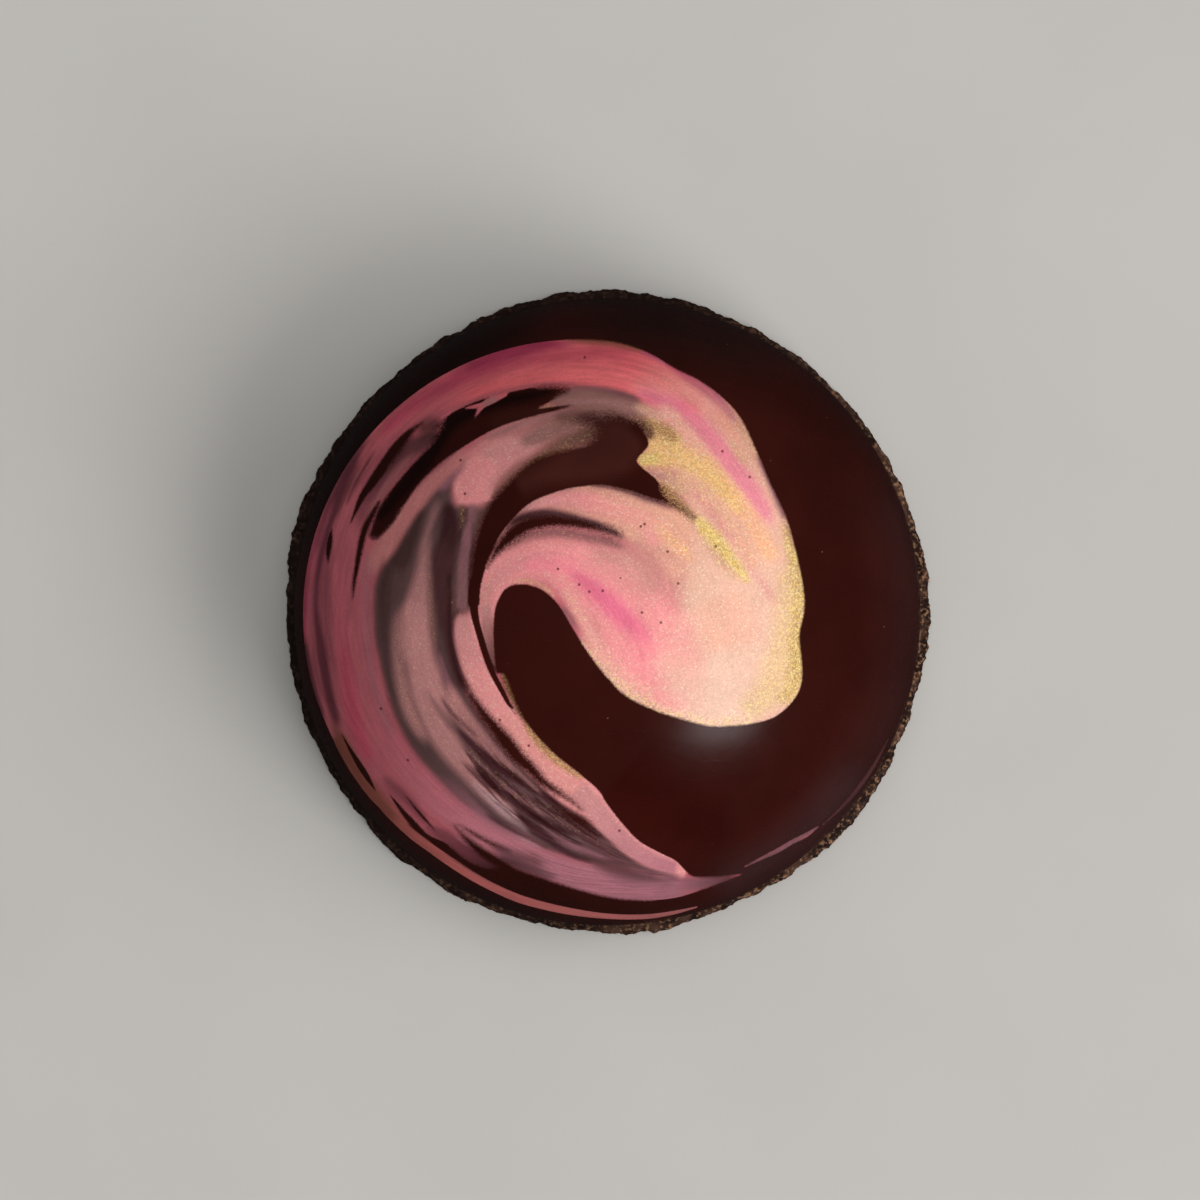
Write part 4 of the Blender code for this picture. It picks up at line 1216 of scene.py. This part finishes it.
def keep(mesh, name, kind, values, restValue):
    # the wall and the underside, which have no paint on them, get the rest value
    values = np.asarray(values, np.float32).reshape(len(values), -1)
    rest = np.tile(np.asarray(restValue, np.float32), (len(mesh.vertices) - len(values), 1))
    item = mesh.attributes.new(name, kind, "POINT")
    field = {"FLOAT": "value", "FLOAT_VECTOR": "vector", "FLOAT_COLOR": "color"}[kind]
    item.data.foreach_set(field, np.vstack([values, rest]).astype(np.float32).ravel())


# The way the paint was dragged: lines from the head round to the tail, outermost first.
guides = [
    [
        (9.5, -3.0), (9.0, 2.5), (7.2, 7.2), (4.2, 10.7), (0.5, 12.2), (-4.0, 12.0), (-8.6, 10.0),
        (-12.0, 6.2), (-13.6, 1.0), (-13.3, -3.2), (-11.0, -7.4), (-7.4, -10.9), (-2.6, -12.6),
        (2.6, -13.0), (7.0, -11.8),
    ],
    [
        (7.6, -3.0), (7.4, 2.0), (6.0, 6.2), (3.4, 9.2), (0.0, 10.5), (-4.0, 10.0), (-7.6, 8.2),
        (-9.8, 5.2), (-11.0, 1.6), (-11.0, -1.6), (-10.0, -4.8), (-8.0, -7.8), (-5.2, -10.0), (-1.4, -11.7),
        (4.4, -12.0),
    ],
    [
        (5.6, -3.4), (5.9, 1.6), (4.6, 5.4), (2.2, 8.2), (-1.0, 8.5), (-4.2, 7.2), (-6.9, 4.8), (-8.4, 1.6),
        (-8.7, -1.6), (-7.8, -4.4), (-6.0, -7.0), (-3.6, -9.4), (-0.4, -11.0), (3.6, -11.8),
    ],
    [
        (3.8, -3.8), (4.4, 0.0), (3.4, 3.4), (0.6, 5.0), (-2.2, 5.0), (-4.5, 3.6), (-5.9, 1.2),
        (-6.3, -1.0), (-5.8, -3.0), (-4.2, -5.0), (-2.0, -7.2), (0.0, -9.6), (1.5, -10.9), (3.4, -11.5),
    ],
    [
        (1.6, -3.8), (1.2, -1.6), (-0.4, 1.2), (-2.6, 2.6), (-4.4, 2.0), (-5.4, 0.4), (-5.5, -1.4),
        (-4.9, -3.2), (-3.2, -5.0), (-1.0, -7.0), (1.0, -9.4), (2.6, -10.8), (4.4, -11.4),
    ],
]
guideGap = 2.2  # millimetres between two guides, about
guideReach = 60  # and far enough for each of them to see the whole dome


def flowOf(canvas):
    # across the lines and along them, in millimetres
    count = len(canvas.x)
    signed, along = [], []
    for guide in guides:
        path = smoothPath(guide, perSpan=4)
        near, distance, at, side, offX, offY = canvas.nearest(path, guideReach)
        run = np.concatenate([[0], np.cumsum(np.hypot(*np.diff(path[:, :2], axis=0).T))])
        signed.append(distance * side)
        along.append(np.interp(at, np.arange(len(run)), run))
    lane = np.full(count, 0.0)
    run = along[0].copy()
    outside = signed[0] < 0
    lane[outside] = signed[0][outside] / guideGap
    for i in range(len(guides) - 1):
        here = ~outside & (signed[i] >= 0) & (signed[i + 1] < 0)
        share = signed[i] / (signed[i] - signed[i + 1] + 1e-9)
        lane[here] = (i + share)[here]
        run[here] = (along[i] + (along[i + 1] - along[i]) * share)[here]
        outside |= here
    rest = ~outside
    lane[rest] = len(guides) - 1 + signed[-1][rest] / guideGap
    run[rest] = along[-1][rest]
    return np.stack([lane * guideGap, run, np.zeros(count)], 1)


def buildDome():
    places, painted = domePoints()
    near = nearness(places[:painted, 2])
    canvas = Canvas(places[:painted, 0] * near, places[:painted, 1] * near)
    paintSwirl(canvas)
    mesh = meshFrom("decoratedDome", places, domeFaces())
    keep(mesh, "film", "FLOAT", np.clip(canvas.film, -dome["reach"], dome["reach"]), [-dome["reach"]])
    keep(mesh, "soft", "FLOAT", canvas.soft, [dome["restSoftness"]])
    for name in ("gold", "thin", "streak"):
        keep(mesh, name, "FLOAT", getattr(canvas, name), [0])
    solid = np.ones((painted, 1))
    for name in ("tint", "ground"):
        keep(mesh, name, "FLOAT_COLOR", np.hstack([getattr(canvas, name), solid]), [*palette["dark"], 1])
    keep(mesh, "flow", "FLOAT_VECTOR", flowOf(canvas), [0, 0, 0])
    piece = bpy.data.objects.new("decorated_dome", mesh)
    scene.collection.objects.link(piece)
    return piece


class Value:
    # a node socket that Python arithmetic works on
    def __init__(self, nodes, socket):
        self.nodes, self.socket = nodes, socket

    def math(self, operation, *others):
        return self.nodes.add("ShaderNodeMath", {"operation": operation}, [self, *others])

    def __add__(self, other):
        return self.math("ADD", other)

    def __sub__(self, other):
        return self.math("SUBTRACT", other)

    def __mul__(self, other):
        return self.math("MULTIPLY", other)

    def __truediv__(self, other):
        return self.math("DIVIDE", other)

    def __rsub__(self, other):
        return self.nodes.add("ShaderNodeMath", {"operation": "SUBTRACT"}, [other, self])

    __radd__, __rmul__ = __add__, __mul__


class Nodes:
    # a node tree that grows one node at a time: its kind, its settings, its values and links
    def __init__(self, tree):
        self.tree = tree

    def add(self, kind, settings=None, inputs=(), output=0):
        node = self.tree.nodes.new(kind)
        for name, value in (settings or {}).items():
            setattr(node, name, value)
        pairs = inputs.items() if isinstance(inputs, dict) else enumerate(inputs)
        for name, value in pairs:
            if isinstance(value, Value):
                self.tree.links.new(value.socket, node.inputs[name])
            else:
                node.inputs[name].default_value = value
        return Value(self, node.outputs[output])

    def vector(self, operation, *values, output=0):
        return self.add("ShaderNodeVectorMath", {"operation": operation}, values, output)

    def scaled(self, vector, share):
        return self.add("ShaderNodeVectorMath", {"operation": "SCALE"}, {0: vector, "Scale": share})

    def noise(self, vector, scale, detail=2.0, roughness=0.5):
        return self.add("ShaderNodeTexNoise", {"noise_dimensions": "3D"},
                        {"Vector": vector, "Scale": scale, "Detail": detail, "Roughness": roughness})

    def step(self, value, low, high):
        # 0 below low, 1 above high, smooth between
        return self.add("ShaderNodeMapRange", {"interpolation_type": "SMOOTHSTEP"},
                        {"Value": value, "From Min": low, "From Max": high})

    def pick(self, vector, axis):
        return self.add("ShaderNodeSeparateXYZ", {}, [vector], axis)


class Finish(Nodes):
    # one material and the nodes in it
    def __init__(self, name):
        self.material = bpy.data.materials.new(name)
        self.material.use_nodes = True
        super().__init__(self.material.node_tree)
        self.tree.nodes.clear()

    def fromMesh(self, name, output="Fac"):
        return self.add("ShaderNodeAttribute", {"attribute_name": name}, output=output)

    def place(self):
        return self.add("ShaderNodeTexCoord", output="Object")

    def cells(self, vector, scale, output="Color"):
        return self.add("ShaderNodeTexVoronoi", {}, {"Vector": vector, "Scale": scale}, output)

    def blend(self, share, below, above, how="MIX"):
        # inputs 6 and 7 and output 2 are the node's colours
        return self.add("ShaderNodeMix", {"data_type": "RGBA", "blend_type": how},
                        {0: share, 6: below, 7: above}, 2)

    def part(self, colour, channel):
        return self.add("ShaderNodeSeparateColor", {}, [colour], channel)

    def bump(self, height, share, depth):
        return self.add("ShaderNodeBump", {}, {"Strength": share, "Distance": depth, "Height": height})

    def surface(self, sockets):
        shader = self.add("ShaderNodeBsdfPrincipled", {}, sockets)
        out = self.tree.nodes.new("ShaderNodeOutputMaterial")
        self.tree.links.new(shader.socket, out.inputs["Surface"])
        return self.material


def colour(red, green, blue):
    return (*linear(red, green, blue), 1.0)


def grey(value):
    return (value, value, value, 1.0)


# Drops of dark red that landed on the pale colour.
drops = [
    (-1.25, 1.25), (-0.8, 0.93), (-0.2, 0.97), (1.5, 3.85), (1.67, 3.95), (2.7, 2.72), (3.17, 1.3),
    (4.85, 2.95), (1.55, 0.0), (2.4, -0.45), (6.37, 6.05), (5.15, 7.2), (-6.35, 5.3), (-6.55, 6.8),
    (-5.0, 3.95), (-1.0, 11.4), (-2.2, 1.95), (-4.8, -4.8), (-3.5, -5.95), (0.55, -9.75), (-10.1, -4.3),
    (-8.9, -6.6),
]


def shellMaterial():
    f = Finish("shell_finish")
    place = f.place()
    flow = f.fromMesh("flow", "Vector")
    film, soft, thin = f.fromMesh("film"), f.fromMesh("soft"), f.fromMesh("thin")
    gold, streak = f.fromMesh("gold"), f.fromMesh("streak")
    tint, ground = f.fromMesh("tint", "Color"), f.fromMesh("ground", "Color")

    fine = f.noise(place, dome["fineGrain"], 1.0)
    clump = f.noise(place, dome["clumpGrain"], 2.0)
    drag = f.noise(f.vector("MULTIPLY", flow, dome["dragGrain"]), 1.0, 4.0, 0.6)
    patch = f.noise(place, dome["patchGrain"], 3.0, 0.6)

    # where there is colour: its edge breaks up into grains as it thins out
    grain = (fine - 0.5) * 1.8 + (clump - 0.5) * 1.4
    level = (film / soft * 0.5 + 0.5).math("MINIMUM", 1.7 - thin * 1.7) + grain * (thin * 0.8 + 0.32)
    cover = f.step(level, 0.0, 1.0)
    gaps = f.step(drag, 0.46, 0.6) * (streak - 0.45).math("MAXIMUM", 0.0) * 1.8
    cover = cover * (1 - gaps * 0.6)

    # the colour itself, a little uneven, with gold grains and glints in it
    pale = f.step(f.part(tint, "Green"), 0.12, 0.42)
    shade = f.blend(f.step(drag, 0.32, 0.68), (1.22, 1.2, 1.21, 1), (0.7, 0.66, 0.69, 1))
    painted = f.blend(streak * 0.75 + (1 - pale) * 0.25 + 0.06, tint, shade, "MULTIPLY")
    painted = f.blend(0.8, painted, f.blend(f.step(patch, 0.3, 0.7), grey(0.94), grey(1.05)), "MULTIPLY")
    speck = f.blend(f.step(grain, -0.8, 0.8), (0.84, 0.82, 0.82, 1), (1.13, 1.13, 1.12, 1))
    painted = f.blend(0.8, painted, speck, "MULTIPLY")
    cell = f.cells(place, dome["fleckGrain"])
    glitter = f.cells(place, dome["glitterGrain"])
    goldGrain = f.step(fine + (clump - 0.5) * 0.6, 0.36, 0.64)
    gilded = f.blend(goldGrain, (0.56, 0.48, 0.38, 1), (1.24, 1.22, 1.1, 1))
    painted = f.blend(gold * 0.75, painted, gilded, "MULTIPLY")
    fleck = f.step(gold * 0.36 - f.part(glitter, 0), 0.0, 0.04)
    painted = f.blend(fleck * (pale * 0.45 + 0.2), painted, colour(*dome["goldFleck"]))
    glint = f.step(f.part(cell, 1), 0.82, 0.86) * pale
    painted = f.blend(glint * 0.28, painted, colour(*dome["glint"]))
    sparkle = f.step(f.part(glitter, 2), 0.96, 0.97) * pale
    painted = f.blend(sparkle * 0.5, painted, colour(*dome["glint"]))

    # the drops, and much smaller ones scattered among them
    flat = f.vector("MULTIPLY", place, (1.0, 1.0, 0.0))
    nearest = 1.0
    for spot in drops:
        x, y = ontoDome(*spot)
        gap = f.vector("DISTANCE", flat, (x * mm, y * mm, 0.0), output="Value")
        nearest = gap.math("MINIMUM", nearest)
    dropStarts, dropEnds = dome["dropEdge"]
    drop = (1 - f.step(nearest, dropStarts * mm, dropEnds * mm)) * 0.8
    dropAway = f.cells(place, dome["dropletGrain"], "Distance")
    dropKind = f.part(f.cells(place, dome["dropletGrain"]), 1)
    droplet = (1 - f.step(dropAway, 0.02, 0.04)) * f.step(dropKind, 0.9, 0.91) * 0.6
    painted = f.blend(drop.math("MAXIMUM", droplet), painted, colour(*dome["drop"]))

    # the bare chocolate, with the painted light and shade of its ground colour and a little dust on it
    mottle = f.noise(place, dome["mottleGrain"], 3.0, 0.55)
    bare = f.blend(1.0, ground, f.blend(f.step(mottle, 0.3, 0.7), grey(0.82), grey(1.2)), "MULTIPLY")
    dustAway = f.cells(place, dome["dustGrain"], "Distance")
    dustKind = f.part(f.cells(place, dome["dustGrain"]), 2)
    dust = (1 - f.step(dustAway, 0.02, 0.06)) * f.step(dustKind, 0.92, 0.93)
    bare = f.blend(dust * 0.5, bare, colour(*dome["dust"]))

    base = f.blend(cover, bare, painted)
    scuff = f.noise(f.vector("MULTIPLY", place, dome["scuffGrain"]), 1.0, 2.0)
    painting = cover * (dome["paintedGloss"] - dome["gloss"])
    rough = (scuff - 0.5) * 0.1 + (fine - 0.5) * 0.06 + painting + dome["gloss"]
    sheen = fleck * cover * dome["goldSheen"]
    relief = f.bump(fine + clump, dome["reliefShare"], dome["reliefDepth"])
    return f.surface({"Base Color": base, "Roughness": rough, "Metallic": sheen, "IOR": dome["refraction"],
                      "Normal": relief})


foot = {
    "around": 1440,
    "width": 0.36,  # millimetres that the rim stands out from the dome, before it is broken
    "broken": 0.34,  # how far the break goes in and out, in millimetres
    "lip": 0.22,  # and how far up and down
    "chips": 5.5,  # to a square millimetre
    "chipSize": 0.12,
    "seed": 5,
    "darkest": (34, 19, 15),
    "brown": (84, 56, 44),
    "chip": (158, 116, 84),
    "bays": 130,  # patterns to a metre in the break: long bays, nicks and crumbs
    "nicks": 900,
    "crumbs": 4200,
    "lifts": 1500,
    "broadGrain": 160,
    "middleGrain": 1100,
    "fineGrain": 5200,
    "reliefShare": 0.5,
    "reliefDepth": 0.00006,
}


def rimRing():
    # the closing layer's rim all round, still even: r and z in millimetres
    outer = domeRadius + foot["width"]
    profile = [
        (domeRadius - 0.6, 0.0), (outer - 0.12, 0.0), (outer - 0.03, 0.1), (outer, 0.24), (outer - 0.02, 0.4),
        (outer - 0.08, 0.5), (outer - 0.18, 0.54), (domeRadius + 0.08, 0.55), (domeRadius - 0.02, 0.57),
        (domeRadius - 0.15, 0.6), (domeRadius - 0.6, 0.6),
    ]
    around = foot["around"]
    turn = 2 * np.pi * np.arange(around) / around
    places = [np.stack([r * np.cos(turn), r * np.sin(turn), np.full(around, z)], 1) for r, z in profile]
    m = np.arange(around)
    after = (m + 1) % around
    faces = []
    for i in range(len(profile)):
        j = (i + 1) % len(profile)
        faces.append(np.stack([i * around + m, i * around + after, j * around + after, j * around + m], 1))
    return meshFrom("rimRing", np.vstack(places), np.vstack(faces))


def breakingTree(material):
    # breaks the even rim up and scatters chips on it
    tree = bpy.data.node_groups.new("broken_rim", "GeometryNodeTree")
    sizes = {
        "Dome radius": domeRadius * mm, "Broken": foot["broken"] * mm, "Lip": foot["lip"] * mm,
        "Chips": foot["chips"] / mm**2, "Chip size": foot["chipSize"] * mm,
    }
    tree.interface.new_socket("Rim", in_out="INPUT", socket_type="NodeSocketGeometry")
    for name in sizes:
        tree.interface.new_socket(name, in_out="INPUT", socket_type="NodeSocketFloat")
    tree.interface.new_socket("Seed", in_out="INPUT", socket_type="NodeSocketInt")
    tree.interface.new_socket("Rim", in_out="OUTPUT", socket_type="NodeSocketGeometry")
    g = Nodes(tree)
    entry = tree.nodes.new("NodeGroupInput")
    given = {socket.name: Value(g, socket) for socket in entry.outputs if socket.name}

    place = g.add("GeometryNodeInputPosition")
    flat = g.vector("MULTIPLY", place, (1.0, 1.0, 0.0))
    outward = g.vector("NORMALIZE", flat)
    past = g.vector("LENGTH", flat, output="Value") - given["Dome radius"]
    out = g.step(past, 0.0, foot["width"] * mm)  # 0 by the dome, 1 at the edge
    bays = g.noise(place, foot["bays"], 1.0)
    nicks = g.noise(place, foot["nicks"], 2.0)
    crumbs = g.noise(place, foot["crumbs"], 2.0)
    breaking = (bays - 0.5) * 1.9 + (nicks - 0.5) * 1.5 + (crumbs - 0.5) * 0.7
    lift = g.noise(g.vector("ADD", place, (0.1, 0.2, 0.3)), foot["lifts"], 3.0, 0.6) - 0.5
    high = g.step(g.pick(place, 2), 0.0001, 0.0005)
    sideways = g.scaled(outward, breaking * out * given["Broken"])
    upward = g.add("ShaderNodeCombineXYZ", {}, {"Z": lift * high * out * given["Lip"] * 2.0})
    offset = g.vector("ADD", sideways, upward)
    broken = g.add("GeometryNodeSetPosition", {}, {"Geometry": given["Rim"], "Offset": offset})

    # more chips where it is nicked, and none against the dome
    density = given["Chips"] * g.step(nicks, 0.45, 0.65) * g.step(past, 0.0, 0.0003)
    scatter = g.add("GeometryNodeDistributePointsOnFaces", {"distribute_method": "RANDOM"},
                    {"Mesh": broken, "Density": density, "Seed": given["Seed"]}, "Points")
    pale = g.add("FunctionNodeRandomValue", {"data_type": "FLOAT"}, {2: 0.1, 3: 1.0, "Seed": 3}, 1)
    points = g.add("GeometryNodeStoreNamedAttribute", {"data_type": "FLOAT", "domain": "POINT"},
                   {"Geometry": scatter, "Name": "chip", "Value": pale})
    grain = g.add("GeometryNodeMeshIcoSphere", {}, {"Radius": 0.5, "Subdivisions": 1}, "Mesh")
    sides = g.add("FunctionNodeRandomValue", {"data_type": "FLOAT_VECTOR"},
                  {0: (0.35, 0.35, 0.25), 1: (1.7, 1.2, 0.7), "Seed": 1}, 0)
    size = g.scaled(sides, given["Chip size"])
    spin = g.add("FunctionNodeRandomValue", {"data_type": "FLOAT_VECTOR"},
                 {0: (0, 0, 0), 1: (6.28, 6.28, 6.28), "Seed": 2}, 0)
    chips = g.add("GeometryNodeInstanceOnPoints", {},
                  {"Points": points, "Instance": grain, "Rotation": spin, "Scale": size})
    join = tree.nodes.new("GeometryNodeJoinGeometry")
    for part in (broken, g.add("GeometryNodeRealizeInstances", {}, [chips])):
        tree.links.new(part.socket, join.inputs["Geometry"])
    joined = Value(g, join.outputs["Geometry"])
    whole = g.add("GeometryNodeSetMaterial", {}, {"Geometry": joined, "Material": material})
    leaving = tree.nodes.new("NodeGroupOutput")
    tree.links.new(whole.socket, leaving.inputs["Rim"])
    return tree, {**sizes, "Seed": foot["seed"]}


def buildFoot(material):
    ring = bpy.data.objects.new("rim_ring", rimRing())
    scene.collection.objects.link(ring)
    tree, values = breakingTree(material)
    modifier = ring.modifiers.new("broken", "NODES")
    modifier.node_group = tree
    for socket in tree.interface.items_tree:
        if socket.in_out == "INPUT" and socket.name in values:
            modifier[socket.identifier] = values[socket.name]
    bpy.context.view_layer.update()
    mesh = bpy.data.meshes.new_from_object(ring.evaluated_get(bpy.context.evaluated_depsgraph_get()))
    mesh.name = "closingLayer"
    piece = bpy.data.objects.new("closing_rim", mesh)
    scene.collection.objects.link(piece)
    bpy.data.objects.remove(ring, do_unlink=True)
    return piece


def footMaterial():
    f = Finish("foot_finish")
    place = f.place()
    chip = f.fromMesh("chip")
    broad = f.noise(place, foot["broadGrain"], 2.0)
    middle = f.noise(place, foot["middleGrain"], 3.0, 0.6)
    fine = f.noise(place, foot["fineGrain"], 2.0, 0.6)
    # painted light: paler and browner towards the near right side, where the light falls
    towardsLight = f.step(f.pick(place, 0) * 0.9 - f.pick(place, 1) * 0.5 + (broad - 0.5) * 0.02, -0.006, 0.014)
    share = f.step(middle, 0.42, 0.66) * (towardsLight * 0.75 + 0.12)
    base = f.blend(share, colour(*foot["darkest"]), colour(*foot["brown"]))
    base = f.blend(f.step(fine, 0.5, 0.66) * (towardsLight * 0.6 + 0.1), base, colour(*foot["chip"]))
    base = f.blend(chip * (towardsLight * 0.5 + 0.3), base, colour(*foot["chip"]))
    rough = (fine - 0.5) * 0.4 + 0.55
    relief = f.bump(fine, foot["reliefShare"], foot["reliefDepth"])
    return f.surface({"Base Color": base, "Roughness": rough, "Normal": relief})


studio = {
    "aim": (0, 0, 0.007),
    "away": 0.6,
    "key": ((0.62, -0.50, 0.60), 0.30, 2.05),  # the way to it, its size, its strength
    "right": ((0.80, 0.02, 0.60), 0.40, 1.10),
    "over": ((0.05, 0.15, 1.0), 0.45, 1.29),
    "window": ((0.61, -0.607, 0.5), 0.035, 0.24),  # seen only as the glint on the chocolate
    "windowLength": 0.24,
    "windowTurn": -45,
    "sky": 0.21,
    "mirroredSky": 0.012,
    "floorTones": ((190, 187, 182), (198, 195, 190)),
    "floorGrain": 90,
    "floorRoughness": 0.8,
    "floorHalf": 2,
    "eye": (-0.00031, 0.00054, eyeHeight * mm),
    "lens": 268,
    "clip": (0.01, 10),
}


def panel(name, towards, size, watts):
    # soft light that the gloss doesn't show
    light = bpy.data.lights.new(name, "AREA")
    light.shape, light.size, light.energy = "SQUARE", size, watts
    lamp = bpy.data.objects.new(name, light)
    scene.collection.objects.link(lamp)
    way = Vector(towards).normalized()
    lamp.location = Vector(studio["aim"]) + way * studio["away"]
    lamp.rotation_euler = way.to_track_quat("Z", "Y").to_euler()
    lamp.visible_camera = False
    lamp.visible_glossy = False
    return lamp


def buildSky():
    # even light all round, dimmer where the chocolate mirrors it
    world = bpy.data.worlds.new("studio")
    world.use_nodes = True
    n = Nodes(world.node_tree)
    back = n.tree.nodes["Background"]
    back.inputs["Color"].default_value = (1, 1, 1, 1)
    mirrored = n.add("ShaderNodeLightPath", output="Is Glossy Ray")
    strength = n.add("ShaderNodeMapRange", {},
                     {"Value": mirrored, "To Min": studio["sky"], "To Max": studio["mirroredSky"]})
    n.tree.links.new(strength.socket, back.inputs["Strength"])
    scene.world = world


def buildFloor():
    mesh = bpy.data.meshes.new("floor")
    half = studio["floorHalf"]
    corners = [(-half, -half, 0), (half, -half, 0), (half, half, 0), (-half, half, 0)]
    mesh.from_pydata(corners, [], [(0, 1, 2, 3)])
    floor = bpy.data.objects.new("floor", mesh)
    scene.collection.objects.link(floor)
    f = Finish("floor_finish")
    darker, paler = (colour(*tone) for tone in studio["floorTones"])
    base = f.blend(f.noise(f.place(), studio["floorGrain"], 3.0), darker, paler)
    mesh.materials.append(f.surface({"Base Color": base, "Roughness": studio["floorRoughness"]}))
    floor.visible_glossy = False


def buildSetting():
    for name in ("key", "right", "over"):
        panel(name, *studio[name])
    # a long strip, the only one that glints
    strip = panel("window", *studio["window"])
    strip.data.shape = "RECTANGLE"
    strip.data.size_y, strip.data.size = strip.data.size, studio["windowLength"]
    strip.rotation_euler.rotate_axis("Z", math.radians(studio["windowTurn"]))
    strip.visible_glossy, strip.visible_diffuse = True, False
    buildSky()
    buildFloor()
    camera = bpy.data.cameras.new("camera")
    camera.lens = studio["lens"]
    camera.clip_start, camera.clip_end = studio["clip"]
    eye = bpy.data.objects.new("camera", camera)
    eye.location = studio["eye"]
    scene.collection.objects.link(eye)
    scene.camera = eye
    scene.view_settings.view_transform = "Standard"


print("setting")
buildSetting()
print("dome")
domePiece = buildDome()
domePiece.data.materials.append(shellMaterial())
print("foot")
footPiece = buildFoot(footMaterial())
pieces = (
    (domePiece, "dome_shell", "decorated_shell"),
    (footPiece, "closing_layer", "closing_chocolate"),
)
for piece, node, slot in pieces:
    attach(piece, "root")
    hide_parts(node)
    print(piece.name, len(piece.data.polygons), "faces")
